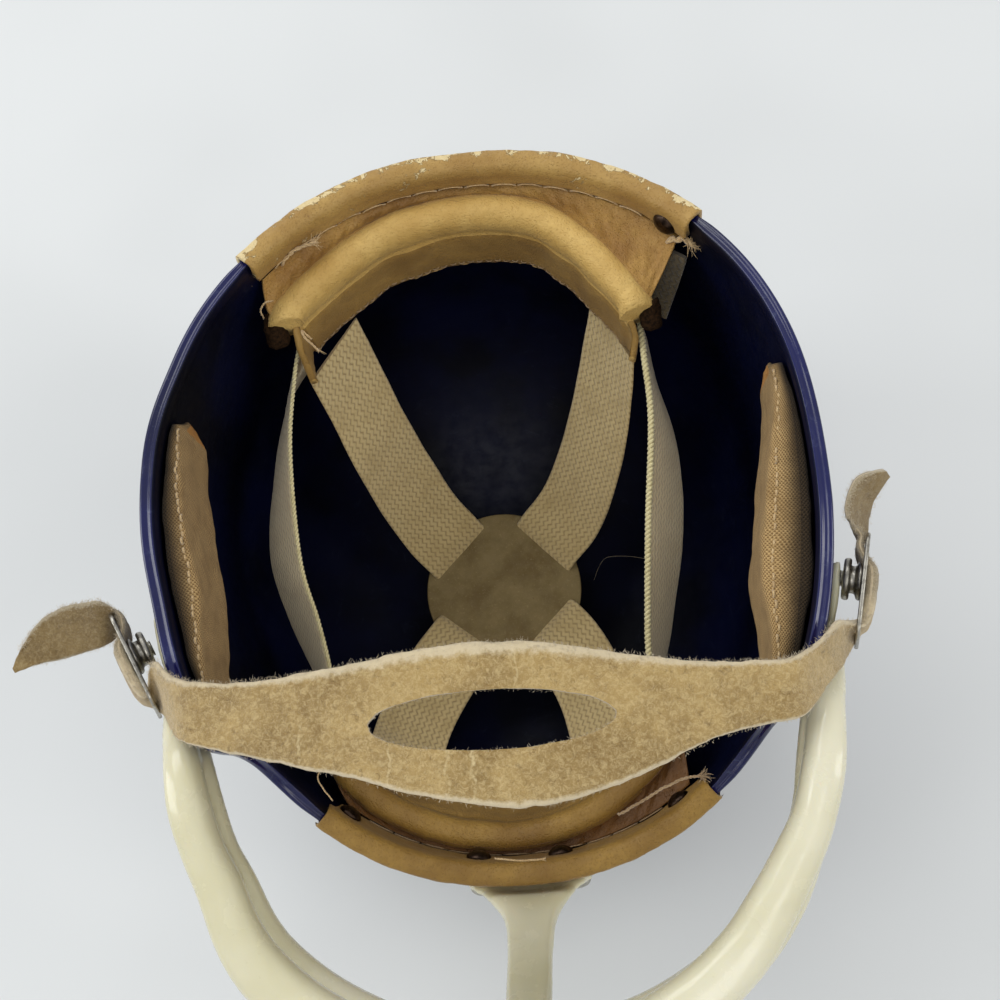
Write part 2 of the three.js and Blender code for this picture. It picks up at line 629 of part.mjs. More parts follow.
// Face mask: two bars that part from a plate on each side and meet the centre post. The rows go from the
// plate's rear end to the centre front.
const ARM_OUT = 0.7;
const ARM_THICK = 3.2;
const ARM_ANGLES = [77.3, 72, 66.5];
const BAR_HALF = [
  ...ARM_ANGLES.map((angle) => {
    const run = runAtHeight(160);
    const level = wallNormal(angle, run).setZ(0).normalize();
    const { x, y } = wallPoint(angle, run).addScaledVector(level, ARM_OUT + ARM_THICK / 2);
    return { x, y, width: ARM_THICK, nearZ: 163, nearTall: 12, farZ: 156, farTall: 12, apart: 0 };
  }),
  { x: 96, y: -61, width: 3.8, nearZ: 163.5, nearTall: 12, farZ: 157, farTall: 12, apart: 0 },
  { x: 95, y: -67, width: 5.2, nearZ: 167.5, nearTall: 12.5, farZ: 160, farTall: 12.5, apart: 0 },
  { x: 93.3, y: -73, width: 8, nearZ: 174, nearTall: 13, farZ: 163.5, farTall: 13, apart: 0 },
  { x: 89.8, y: -88, width: 10.5, nearZ: 176.5, nearTall: 13, farZ: 165, farTall: 13, apart: 0.3 },
  { x: 85.9, y: -101, width: 11.5, nearZ: 176.5, nearTall: 13, farZ: 165, farTall: 13, apart: 1 },
  { x: 80.7, y: -111, width: 12.5, nearZ: 176.5, nearTall: 13, farZ: 164, farTall: 13, apart: 1.6 },
  { x: 73.8, y: -123.5, width: 13.5, nearZ: 176.5, nearTall: 13, farZ: 161.5, farTall: 13, apart: 2.6 },
  { x: 65.5, y: -134.5, width: 14.5, nearZ: 176.5, nearTall: 13, farZ: 158.5, farTall: 13, apart: 2.6 },
  { x: 53, y: -144.8, width: 15, nearZ: 176.5, nearTall: 13, farZ: 156, farTall: 13, apart: 2.6 },
  { x: 37, y: -153.6, width: 15.5, nearZ: 176.5, nearTall: 13, farZ: 153, farTall: 13, apart: 2.6 },
  { x: 19, y: -159, width: 16, nearZ: 176.5, nearTall: 13, farZ: 151, farTall: 13, apart: 2.6 },
];
const BAR_FRONT = { ...BAR_HALF.at(-1), x: 0, y: -160.8, farZ: 150 };
const BAR_TABLE = [...BAR_HALF, BAR_FRONT, ...BAR_HALF.toReversed().map((row) => ({ ...row, x: -row.x }))];
const BAR_STEPS = 30;
const BAR_SIDES = 8;

// The front of the mask is pushed a little towards -X.
const PUSHED = { by: -2.5, from: 105, to: 130 };

// One bar: share is how far it stands out from the other (0 for the near bar, 1 for the far bar).
function barGeometry(middleColumn, tallColumn, share) {
  return sweep(ellipseOutline(BAR_SIDES), BAR_STEPS, (fraction, corner) => {
    const row = along(BAR_TABLE, fraction);
    const ahead = along(BAR_TABLE, Math.min(fraction + 0.004, 1));
    const behind = along(BAR_TABLE, Math.max(fraction - 0.004, 0));
    const direction = vec(ahead.x - behind.x, ahead.y - behind.y, 0).normalize();
    const across = direction.clone().cross(UP);
    const fit = (value) => signedPower(value, 0.72);
    const pushed = PUSHED.by * THREE.MathUtils.smoothstep(-row.y, PUSHED.from, PUSHED.to);
    const point = vec(row.x + pushed + share * row.apart, row.y, row[middleColumn]);
    point.addScaledVector(across, (fit(corner.x) * row.width) / 2 - share * row.apart);
    return point.addScaledVector(UP, (fit(corner.y) * row[tallColumn]) / 2);
  });
}

// The centre post, from the bars down to the flange on the forehead. bend curves a row round the forehead.
const POST_TABLE = [
  { x: 0.5, y: -160.5, z: 181, width: 14, thick: 9, bend: 0 },
  { x: 0.5, y: -160.5, z: 165, width: 14, thick: 9, bend: 0 },
  { x: 0.8, y: -158.5, z: 149, width: 14, thick: 9, bend: 0 },
  { x: 1.2, y: -151, z: 134, width: 14.5, thick: 8.5, bend: 0 },
  { x: 1.8, y: -141, z: 121.5, width: 15, thick: 8, bend: 0.2 },
  { x: 2.2, y: -133, z: 112.5, width: 18, thick: 7, bend: 0.6 },
  { x: 2, y: -128.6, z: 105, width: 29, thick: 5.4, bend: 1 },
  { x: 1.6, y: -126.8, z: 98, width: 42, thick: 4, bend: 1 },
];
const FLANGE = { angle: 0.8, spread: 10.5, top: 98, bottom: 74, inner: 2.3, outer: 5.6 };
const BEND_RADIUS = 88;

function postGeometry() {
  return sweep(ellipseOutline(12), 14, (fraction, corner) => {
    const row = along(POST_TABLE, fraction);
    const ahead = along(POST_TABLE, Math.min(fraction + 0.02, 1));
    const behind = along(POST_TABLE, Math.max(fraction - 0.02, 0));
    const direction = vec(0, ahead.y - behind.y, ahead.z - behind.z).normalize();
    const through = direction.cross(vec(1, 0, 0));
    const aside = (signedPower(corner.x, 0.6) * row.width) / 2;
    const point = vec(row.x + aside, row.y + (row.bend * aside ** 2) / (2 * BEND_RADIUS), row.z);
    return point.addScaledVector(through, (signedPower(corner.y, 0.6) * row.thick) / 2);
  });
}

function flangeGeometry() {
  const outline = corners([[0.12, 0], [0.88, 0], [1, 0.3], [1, 1], [0.88, 1], [0.12, 1], [0, 1], [0, 0.3]]);
  return sweep(outline, 10, (fraction, corner) => {
    const aside = 2 * fraction - 1;
    const angle = FLANGE.angle + FLANGE.spread * aside;
    const bottom = FLANGE.bottom + 9 * aside ** 4;
    const height = lerp(bottom, FLANGE.top, corner.x);
    const run = heightToRun(height);
    const depth = lerp(FLANGE.inner, FLANGE.outer, corner.y);
    return wallPoint(angle, run).addScaledVector(wallNormal(angle, run), depth);
  });
}

// The run that reaches a height on the dome.
function heightToRun(height) {
  if (height >= WIDEST_HEIGHT) return runAtHeight(height);
  return (DOME_RUN * Math.acos((1 - height / WIDEST_HEIGHT) ** (DOME_POWER / 2))) / (Math.PI / 2);
}

// The slides: a flat plate seen on edge, its long side from the jaw rearwards, with two slots and the
// snap's socket on the side towards the shell.
const SLIDE = { long: 32.5, tall: 24, thick: 1.2, corner: 4, snapAt: 3.25 };
const SLOT = { tall: 19, from: [-4.5, 5.5], wide: 5.5 };
const SLIDES = {
  left: { centre: vec(-111.9, -45.4, 165.2), ahead: vec(-0.452, 0.892, 0), lean: vec(0.275, 0.141, 0.951) },
  right: { centre: vec(111.6, -39.9, 165), ahead: vec(0.257, 0.967, 0), lean: vec(-0.228, 0.06, 0.972) },
};

// The snap's socket on the plate and the stud on the mask's arm, as radius and height over the plate.
const SOCKET_PROFILE = [[0, -0.2], [1.9, -0.2], [1.9, 3.9], [6.2, 3.9], [6.2, 5.9], [4.4, 5.9], [4.4, 4.7],
  [0, 4.7]];
const STUD_PROFILE = [[0, 5.1], [3.7, 5.1], [3.9, 5.5], [2.4, 6], [2.4, 6.9], [0, 6.9]];

// A slide's own axes as a matrix: x along its long side, y towards the opening, z square to the plate.
// flip is 1 where z points away from the shell and -1 where it points to it.
function slideFrame(side) {
  const { centre, ahead, lean } = SLIDES[side];
  const x = ahead.clone().normalize();
  const y = lean.clone().addScaledVector(x, -lean.dot(x)).normalize();
  const z = x.clone().cross(y);
  const frame = new THREE.Matrix4().makeBasis(x, y, z).setPosition(centre);
  return { frame, flip: Math.sign(z.x * centre.x) };
}

function slideGeometry(side) {
  const { frame, flip } = slideFrame(side);
  const corner = SLIDE.corner;
  const [long, tall] = [SLIDE.long / 2 - corner, SLIDE.tall / 2 - corner];
  const rounded = [];
  for (let i = 0; i < 16; i += 1) {
    const quarter = Math.floor(i / 4);
    const turn = ((i % 4) / 3 + quarter) * (Math.PI / 2);
    const x = (quarter === 0 || quarter === 3 ? long : -long) + corner * Math.cos(turn);
    const y = (quarter < 2 ? tall : -tall) + corner * Math.sin(turn);
    rounded.push(new THREE.Vector2(x, y));
  }
  const options = { depth: SLIDE.thick, bevelEnabled: false };
  const plain = new THREE.ExtrudeGeometry(new THREE.Shape(rounded), options);
  plain.translate(0, 0, -SLIDE.thick / 2);
  const slots = SLOT.from.map((from) => {
    const slot = new THREE.BoxGeometry(SLOT.wide, SLOT.tall, 3 * SLIDE.thick);
    return slot.translate(from + SLOT.wide / 2, 0, 0);
  });
  const plate = cut(plain, ...slots);
  const socket = lathe(SOCKET_PROFILE, 12);
  if (flip > 0) socket.rotateX(Math.PI);
  socket.translate(SLIDE.snapAt, 0, 0);
  return join(plate, socket).applyMatrix4(frame);
}

function snapStudGeometry(side) {
  const { frame, flip } = slideFrame(side);
  const stud = lathe(STUD_PROFILE, 10);
  if (flip > 0) stud.rotateX(Math.PI);
  return stud.translate(SLIDE.snapAt, 0, 0).applyMatrix4(frame);
}

// The chin strap's way through a slide, in the slide's own axes: from the cup along the inner side, out
// through the front slot, over the middle bar and back in through the rear slot.
const STRAP_THICK = 2;
const THREADED_HALF = 8.4;
const THREAD = [
  { ahead: -5.4, out: -2.5 },
  { ahead: -1.75, out: 0 },
  { ahead: 0.6, out: 2.7 },
  { ahead: 3.25, out: 3.8 },
  { ahead: 5.9, out: 2.7 },
  { ahead: 8.25, out: 0 },
  { ahead: 11.9, out: -2.3 },
  { ahead: 15.5, out: -2.6 },
  { ahead: 20.5, out: -1.6 },
];

function threadStations(side) {
  const { frame, flip } = slideFrame(side);
  return THREAD.map(({ ahead, out }) => {
    const near = vec(ahead, THREADED_HALF, flip * out).applyMatrix4(frame);
    const far = vec(ahead, -THREADED_HALF, flip * out).applyMatrix4(frame);
    return { nearX: near.x, nearY: near.y, nearZ: near.z, farX: far.x, farY: far.y, farZ: far.z };
  });
}

const TAIL_LEFT = [
  { nearX: -145.5, nearY: -42.5, nearZ: 173.5, farX: -144.5, farY: -46, farZ: 172.5 },
  { nearX: -143, nearY: -36.5, nearZ: 174.5, farX: -139.5, farY: -43.6, farZ: 171 },
  { nearX: -135, nearY: -29.5, nearZ: 176, farX: -132, farY: -40.5, farZ: 168 },
  { nearX: -125, nearY: -25, nearZ: 176, farX: -127, farY: -34, farZ: 164.5 },
];

const TAIL_RIGHT = [
  { nearX: 111.5, nearY: -15.5, nearZ: 177, farX: 118, farY: -18, farZ: 163 },
  { nearX: 112.5, nearY: -10.5, nearZ: 178, farX: 119.5, farY: -14, farZ: 166 },
  { nearX: 116, nearY: -6.5, nearZ: 178, farX: 122, farY: -10, farZ: 170 },
  { nearX: 120.5, nearY: -5.5, nearZ: 177.5, farX: 123, farY: -8, farZ: 174 },
];

// The cup, from the -X side to the +X side: near is the edge towards the nape, far the edge towards the mask.
const CUP = [
  { nearX: -100, nearY: -46.2, nearZ: 181, farX: -101, farY: -61.7, farZ: 165.5 },
  { nearX: -94.5, nearY: -50.2, nearZ: 184.5, farX: -94.5, farY: -66.5, farZ: 177.5 },
  { nearX: -87.4, nearY: -53.4, nearZ: 188, farX: -88.3, farY: -70.5, farZ: 187 },
  { nearX: -74, nearY: -55, nearZ: 190, farX: -76, farY: -73.6, farZ: 189 },
  { nearX: -58, nearY: -54.8, nearZ: 192.5, farX: -58, farY: -78.5, farZ: 191 },
  { nearX: -40, nearY: -53.2, nearZ: 195, farX: -40, farY: -83, farZ: 193 },
  { nearX: -20, nearY: -50.8, nearZ: 197, farX: -20, farY: -89.3, farZ: 195 },
  { nearX: 0, nearY: -50.2, nearZ: 197.6, farX: 0, farY: -93.2, farZ: 195.6 },
  { nearX: 17, nearY: -51.6, nearZ: 197, farX: 17, farY: -93.2, farZ: 195 },
  { nearX: 38, nearY: -55.8, nearZ: 195, farX: 38, farY: -87.8, farZ: 193 },
  { nearX: 58, nearY: -59.2, nearZ: 192.5, farX: 60, farY: -79.8, farZ: 191 },
  { nearX: 75, nearY: -60, nearZ: 190, farX: 74, farY: -77, farZ: 189 },
  { nearX: 84, nearY: -59.2, nearZ: 188.5, farX: 84.5, farY: -75, farZ: 187.5 },
  { nearX: 92.5, nearY: -54.8, nearZ: 185, farX: 97.6, farY: -63.5, farZ: 175.5 },
  { nearX: 99, nearY: -50, nearZ: 180.5, farX: 104, farY: -57.8, farZ: 165.5 },
];

const HOLE = { x: -0.2, y: -70.8, halfLength: 33.8, halfWidth: 7.9, skew: -1.2 };

function chinStrapGeometry() {
  const table = [
    ...TAIL_LEFT, ...threadStations('left').toReversed(), ...CUP, ...threadStations('right'), ...TAIL_RIGHT,
  ];
  const strap = ribbonGeometry(edgesFrom(table), 2 * (table.length - 1), STRAP_THICK);
  const oval = new THREE.Shape();
  oval.absellipse(0, 0, HOLE.halfLength, HOLE.halfWidth, 0, 2 * Math.PI, false, radians(HOLE.skew));
  const punch = new THREE.ExtrudeGeometry(oval, { depth: 30, bevelEnabled: false, curveSegments: 10 });
  return cut(strap, punch.translate(HOLE.x, HOLE.y, 180));
}

// The attitude at rest, and the flat that it has worn into the crown.
const attitude = new THREE.Euler(radians(REST_PITCH), 0, 0);
const resting = new THREE.Matrix4().makeRotationFromEuler(attitude);

function wornFlat(geometry) {
  const turned = geometry.clone().applyMatrix4(resting);
  turned.computeBoundingBox();
  const deep = 60;
  const below = new THREE.BoxGeometry(300, 300, deep);
  below.translate(0, 0, turned.boundingBox.min.z + CROWN_FLAT - deep / 2);
  return cut(geometry, below.applyMatrix4(resting.clone().invert()));
}

// The assembly.

addPiece('shell', wornFlat(shellWithEars()), 'shell');
addPiece('nape_binding', bindingGeometry(NAPE_START, 360 - NAPE_START, 18, NAPE_BINDING), 'leather');
addPiece('brow_binding', bindingGeometry(-BROW_END, BROW_END, 18, BROW_BINDING), 'leather');
addPiece('nape_sweatband', sweatbandGeometry(NAPE_BAND), 'leather');
addPiece('brow_sweatband', sweatbandGeometry(BROW_BAND), 'leather');
const NAPE_GUSSET = { fromTurn: 225, toTurn: 136, back: 11.3, inset: 4.8, bandFrom: 0.14, bandTo: 0.86 };
const BROW_GUSSET = { fromTurn: -35, toTurn: 35, back: 14, inset: 6.9, bandFrom: 0.16, bandTo: 0.84 };
addPiece('nape_gusset', gussetGeometry(NAPE_BAND, NAPE_GUSSET), 'darkLeather');
addPiece('brow_gusset', gussetGeometry(BROW_BAND, BROW_GUSSET), 'darkLeather');
addPiece('crown_disc', discGeometry(), 'disc');
addPiece('crown_strap_a', ribbonGeometry(edgesFromBearing(STRAP_A), 32, WEBBING), 'webbing');
addPiece('crown_strap_b', ribbonGeometry(edgesFromBearing(STRAP_B), 32, WEBBING), 'webbing');
addPiece('side_strap_left', ribbonGeometry(edgesFrom(SIDE_LEFT), 22, WEBBING), 'webbing');
addPiece('side_strap_right', ribbonGeometry(edgesFrom(SIDE_RIGHT), 22, WEBBING), 'webbing');
addPiece('nape_tape_right', ribbonGeometry(edgesFrom(NAPE_TAPE), 6, WEBBING), 'webbing');
addPiece('jaw_pad_left', padGeometry(PAD_LEFT), 'canvas');
addPiece('jaw_pad_right', padGeometry(PAD_RIGHT), 'canvas');
const bars = [barGeometry('nearZ', 'nearTall', 0), barGeometry('farZ', 'farTall', 1)];
addPiece('face_mask', join(...bars, postGeometry(), flangeGeometry()), 'mask');
addPiece('chin_strap', chinStrapGeometry(), 'suede');
for (const side of ['left', 'right']) {
  addPiece(`slide_${side}`, slideGeometry(side), 'nickel');
  addPiece(`snap_stud_${side}`, snapStudGeometry(side), 'nickel');
}

const RIVETS = {
  brow_rivet_1: { turn: -34, back: 8.5 },
  brow_rivet_2: { turn: -7.4, back: 8.5 },
  brow_rivet_3: { turn: 6.2, back: 8.5 },
  brow_rivet_4: { turn: 31.3, back: 8.5 },
  nape_rivet: { turn: 139, back: 6.5 },
};
const ON_LEATHER = -WALL - SEAT_INSIDE - LEATHER - 0.5;
for (const [name, { turn, back }] of Object.entries(RIVETS)) {
  addPiece(name, headOnWall(turn, back, ON_LEATHER, true), 'bronze');
}

const MASK_SCREWS = { mask_screw_left: -7.5, mask_screw_right: 7.5 };
for (const [name, aside] of Object.entries(MASK_SCREWS)) {
  const angle = FLANGE.angle + aside;
  const run = heightToRun(86);
  const normal = wallNormal(angle, run);
  const point = wallPoint(angle, run).addScaledVector(normal, FLANGE.outer + 0.3);
  addPiece(name, standOn(lathe(DOME_PROFILE, DOME_SIDES), point, normal), 'nickel');
}

// Lay the helmet down: turn it, then set its lowest point on z = 0, with its box centred on the origin.
const lying = new THREE.Group();
lying.add(helmet);
helmet.rotation.copy(attitude);
lying.updateMatrixWorld(true);
const box = new THREE.Box3().setFromObject(helmet, true);
lying.position.set(-(box.min.x + box.max.x) / 2, -(box.min.y + box.max.y) / 2, -box.min.z);

export default lying;
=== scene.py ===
# The looks of a youth football helmet that lies upside down on its crown.
#
# Shapes are worked out in millimetres in the helmet's own frame, as in the part's source: +X is the wearer's
# right, -Y the forehead and face mask, +Y the nape, +Z from the crown towards the opening. A piece is turned
# into the attitude in which the helmet lies, in metres, when it is made.

import math

import bpy
import numpy as np
from mathutils import Matrix, Vector, noise


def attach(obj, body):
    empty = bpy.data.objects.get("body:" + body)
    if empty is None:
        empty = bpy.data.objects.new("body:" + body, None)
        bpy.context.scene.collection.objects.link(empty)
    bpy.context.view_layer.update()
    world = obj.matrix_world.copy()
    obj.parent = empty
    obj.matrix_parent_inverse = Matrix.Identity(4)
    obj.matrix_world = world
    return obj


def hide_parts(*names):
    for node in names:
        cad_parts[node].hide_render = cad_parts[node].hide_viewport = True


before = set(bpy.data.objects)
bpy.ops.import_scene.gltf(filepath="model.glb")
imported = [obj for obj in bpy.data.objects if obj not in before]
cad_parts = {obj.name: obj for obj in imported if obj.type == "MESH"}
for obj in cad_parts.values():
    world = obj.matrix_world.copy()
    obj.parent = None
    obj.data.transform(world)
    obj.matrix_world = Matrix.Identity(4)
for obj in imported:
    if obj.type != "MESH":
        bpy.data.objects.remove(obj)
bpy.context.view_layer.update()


def turning(axis, degrees):
    """The matrix of a turn about one axis, 0 for X to 2 for Z."""
    angle = math.radians(degrees)
    i, j = (axis + 1) % 3, (axis + 2) % 3
    matrix = np.eye(3)
    matrix[i, i] = matrix[j, j] = math.cos(angle)
    matrix[i, j], matrix[j, i] = -math.sin(angle), math.sin(angle)
    return matrix


# How the helmet lies: its pitch, and the way from its own origin to the frame's.
LEAN = turning(0, 6.5)
SHIFT = np.array([11.390, 38.046, 1.162])

random = np.random.default_rng(7)


def lying(points):
    """Points of the helmet's own frame, in millimetres, as metres in the row frame."""
    return (np.asarray(points, float) @ LEAN.T + SHIFT) / 1000


# Tables and curves.

def table(names, *rows):
    values = np.array(rows, float)
    return {name: values[:, i] for i, name in enumerate(names.split())}


def read(rows, key, at):
    """Smooth reading of a table that is sorted by one column."""
    keys = rows[key]
    last = len(keys) - 1
    at = np.clip(np.asarray(at, float), keys[0], keys[last])
    i = np.clip(np.searchsorted(keys, at, side="left") - 1, 0, last - 1)
    before = np.maximum(i - 1, 0)
    after = np.minimum(i + 2, last)
    span = keys[i + 1] - keys[i]
    s = (at - keys[i]) / span
    found = {}
    for name, values in rows.items():
        slope_from = (values[i + 1] - values[before]) / (keys[i + 1] - keys[before])
        slope_to = (values[after] - values[i]) / (keys[after] - keys[i])
        rise = (2 * s**3 - 3 * s**2 + 1) * values[i] + (3 * s**2 - 2 * s**3) * values[i + 1]
        found[name] = rise + span * ((s**3 - 2 * s**2 + s) * slope_from + (s**3 - s**2) * slope_to)
    return found


def along(rows, fraction):
    """The same table, read along its own rows, from 0 at the first to 1 at the last."""
    count = len(next(iter(rows.values())))
    numbered = dict(rows, index=np.arange(count, dtype=float))
    return read(numbered, "index", np.asarray(fraction) * (count - 1))


def points_of(row, *names):
    return np.stack([row[name] for name in names], -1)


def smoothstep(value, low, high):
    t = np.clip((value - low) / (high - low), 0, 1)
    return t * t * (3 - 2 * t)


def lerp(a, b, t):
    return a + (b - a) * t


def signed_power(value, power):
    return np.sign(value) * np.abs(value) ** power


def unit(vectors):
    return vectors / np.linalg.norm(vectors, axis=-1, keepdims=True)


def spline(points, count, closed=False):
    """A smooth curve through a few points, as that many points."""
    points = np.asarray(points, float)
    at = np.linspace(0, 1, count)
    if closed:
        points = np.vstack([points[-3:], points, points[:4]])
        last = len(points) - 1
        at = np.linspace(3, last - 3, count, endpoint=False) / last
    names = [str(i) for i in range(points.shape[1])]
    return points_of(along(dict(zip(names, points.T)), at), *names)


def circle(count):
    return np.arange(count) * 2 * math.pi / count


def length_along(path, closed=False):
    """How far each point of a path lies from its first one, and last the way round where it is closed."""
    if closed:
        path = np.vstack([path, path[:1]])
    return np.concatenate([[0], np.cumsum(np.linalg.norm(np.diff(path, axis=0), axis=1))])


def points_at(path, distance, at):
    return np.stack([np.interp(at, distance, path[:, i]) for i in range(3)], -1)


def heading(rows, fraction, step, names):
    """Which way a table's points run. Axes that aren't named stay 0."""
    ahead = along(rows, np.minimum(fraction + step, 1))
    behind = along(rows, np.maximum(fraction - step, 0))
    level = np.zeros(len(fraction))
    return np.stack([ahead[name] - behind[name] if name in names else level for name in "xyz"], -1)


def cloth_map(across, length):
    return np.stack(np.broadcast_arrays(across, length[:, None]), -1)


def grain(points, size, seed=0):
    """Smooth noise between about -1 and 1, with features of that size."""
    points = np.asarray(points, float)
    flat = points.reshape(-1, 3) / size + seed * 17.3
    values = np.array([noise.noise(p) for p in flat.tolist()])
    return values.reshape(points.shape[:-1])


def ripple(along_it, size, seed):
    return grain(np.stack([along_it, along_it * 0, along_it * 0], -1), size, seed)


# Making objects.

def shade(mesh, sharp=None):
    mesh.shade_smooth()
    if sharp is not None:
        mesh.set_sharp_from_angle(angle=math.radians(sharp))


def link(name, data):
    thing = bpy.data.objects.new(name, data)
    bpy.context.scene.collection.objects.link(thing)
    return thing


def add_object(name, points, faces, uvs=None, material=None, sharp=None):
    mesh = bpy.data.meshes.new(name)
    mesh.from_pydata(lying(points).tolist(), [], [list(face) for face in faces])
    if uvs is not None:
        layer = mesh.uv_layers.new(name="cloth")
        layer.data.foreach_set("uv", np.asarray(uvs, np.float32).ravel())
    piece = link(name, mesh)
    if material is not None:
        mesh.materials.append(material)
    shade(mesh, sharp)
    mesh.update()
    return piece


def grid_faces(rows, columns, wrap_columns=False, start=0):
    i = np.arange(rows - 1)
    j = np.arange(columns if wrap_columns else columns - 1)
    i, j = np.meshgrid(i, j, indexing="ij")
    here, below, beside = i * columns, (i + 1) * columns, (j + 1) % columns
    faces = np.stack([here + j, below + j, below + beside, here + beside], -1)
    return faces.reshape(-1, 4) + start


def grid_object(name, points, material, uv=None, closed=True, caps=True, flip=False, sharp=None):
    """A piece from a grid of points: each row is a section, closed round itself where closed is true."""
    rows, columns = points.shape[:2]
    faces = grid_faces(rows, columns, wrap_columns=closed)
    if flip:
        faces = faces[:, ::-1]
    loops = None
    if uv is not None:
        i, j = np.meshgrid(np.arange(rows - 1), np.arange(uv.shape[1] - 1), indexing="ij")
        corner = np.stack([uv[i, j], uv[i + 1, j], uv[i + 1, j + 1], uv[i, j + 1]], -2)
        corner = corner.reshape(-1, 4, 2)
        if flip:
            corner = corner[:, ::-1]
        loops = corner.reshape(-1, 2)
    faces = faces.tolist()
    if closed and caps:
        first = list(range(columns))
        last = [(rows - 1) * columns + i for i in range(columns)]
        ends = [first, last[::-1]] if not flip else [first[::-1], last]
        faces += ends
        if loops is not None:
            loops = np.vstack([loops, np.tile(uv[0, 0], (columns, 1)), np.tile(uv[-1, 0], (columns, 1))])
    return add_object(name, points.reshape(-1, 3), faces, loops, material, sharp)


def vectors(items, name):
    values = np.empty(len(items) * 3, np.float32)
    items.foreach_get(name, values)
    return values.reshape(-1, 3).astype(float)


def coordinates(piece):
    return vectors(piece.data.vertices, "co")


def move_to(piece, points):
    piece.data.vertices.foreach_set("co", np.asarray(points, np.float32).ravel())
    piece.data.update()


def recolour(piece, chosen, material):
    """A further material for the chosen ones of the piece's first faces."""
    faces = piece.data.polygons
    slots = np.zeros(len(faces), np.int32)
    faces.foreach_get("material_index", slots)
    slots[:len(chosen)][chosen] = len(piece.data.materials)
    piece.data.materials.append(material)
    faces.foreach_set("material_index", slots)


def roughen(piece, *layers, seed=0):
    """Moves the surface in and out by smooth noise. layers are (size, height), in millimetres."""
    points = coordinates(piece)
    shift = np.zeros(len(points))
    for number, (size, height) in enumerate(layers):
        shift += grain(points * 1000, size, seed + number) * height
    move_to(piece, points + vectors(piece.data.vertex_normals, "vector") * (shift / 1000)[:, None])


def keep(piece, *nodes, slot=None):
    """The piece is part of the helmet, and stands for the solids named."""
    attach(piece, "root")
    if nodes:
        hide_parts(*nodes)
    return piece


def apply_modifiers(piece):
    bpy.context.view_layer.update()
    depsgraph = bpy.context.evaluated_depsgraph_get()
    mesh = bpy.data.meshes.new_from_object(piece.evaluated_get(depsgraph))
    piece.modifiers.clear()
    old = piece.data
    piece.data = mesh
    bpy.data.meshes.remove(old)


def subtract(piece, points, material):
    """Cuts a closed prism, given as a grid of points, out of a piece."""
    tool = grid_object("tool", points, material, flip=True)
    modifier = piece.modifiers.new("cut", "BOOLEAN")
    modifier.operation = "DIFFERENCE"
    modifier.solver = "EXACT"
    modifier.material_mode = "TRANSFER"
    modifier.object = tool
    apply_modifiers(piece)
    bpy.data.objects.remove(tool)


def join(name, *pieces):
    """Several objects as one, with the first one's materials first."""
    points, faces, slots, materials = [], [], [], []
    start = 0
    for piece in pieces:
        mesh = piece.data
        for material in mesh.materials:
            if material not in materials:
                materials.append(material)
        points.append(coordinates(piece))
        for face in mesh.polygons:
            faces.append([start + v for v in face.vertices])
            slots.append(materials.index(mesh.materials[face.material_index]) if mesh.materials else 0)
        start += len(mesh.vertices)
        bpy.data.objects.remove(piece)
    mesh = bpy.data.meshes.new(name)
    mesh.from_pydata(np.vstack(points).tolist(), [], faces)
    for material in materials:
        mesh.materials.append(material)
    mesh.polygons.foreach_set("material_index", slots)
    mesh.shade_smooth()
    return link(name, mesh)


def ring_frames(path):
    """Two directions square to a path at each of its points, without twist."""
    path = np.asarray(path, float)
    ahead = unit(np.gradient(path, axis=0) + 1e-9)
    side = np.zeros_like(path)
    start = np.cross(ahead[0], [0.3, 0.2, 1.0])
    side[0] = unit(start)
    for i in range(1, len(path)):
        turned = side[i - 1] - ahead[i] * np.dot(side[i - 1], ahead[i])
        side[i] = unit(turned)
    return side, np.cross(ahead, side)


def tube_points(path, radius, sides=6):
    side, other = ring_frames(path)
    radius = np.broadcast_to(radius, (len(path),))
    turn = circle(sides)
    ring = side[:, None] * np.cos(turn)[None, :, None] + other[:, None] * np.sin(turn)[None, :, None]
    return np.asarray(path)[:, None] + ring * radius[:, None, None]


def tubes(name, paths, radius, material, sides=6):
    """Many thin round strands as one piece. radius is one number, or one array for each path."""
    points, faces = [], []
    start = 0
    for number, path in enumerate(paths):
        thick = radius[number] if isinstance(radius, list) else radius
        points.append(tube_points(path, thick, sides).reshape(-1, 3))
        faces += grid_faces(len(path), sides, wrap_columns=True, start=start).tolist()
        last = start + (len(path) - 1) * sides
        faces += [list(range(start, start + sides)), list(range(last + sides - 1, last - 1, -1))]
        start += len(path) * sides
    return add_object(name, np.vstack(points), faces, material=material)


def two_plies(path, twist, radius, share):
    """Two strands that twist round each other along a path."""
    side, other = ring_frames(path)
    plies = []
    for turn in (0, math.pi):
        offset = side * np.cos(twist + turn)[:, None] + other * np.sin(twist + turn)[:, None]
        plies.append(path + offset * radius * share)
    return plies


def stitch_paths(path, pitch, length, lift, sunk, spread):
    """Running stitches along a path: each one rises out of the leather and dips back into it.
    lift is the direction out of the leather at each point of the path."""
    distance = length_along(path)
    paths = []
    for begin in np.arange(0.4, distance[-1] - length, pitch):
        at = begin + length * np.linspace(0, 1, 6) + random.normal(0, 0.05)
        height = np.array([-sunk, 0.12, 0.3, 0.3, 0.12, -sunk])
        aside = random.normal(0, spread, 3)
        paths.append(points_at(path, distance, at) + points_at(lift, distance, at) * height[:, None] + aside)
    return paths


# Materials.

def operation(name):
    return lambda value, other=0.0: value.finish.math(name, value, other)


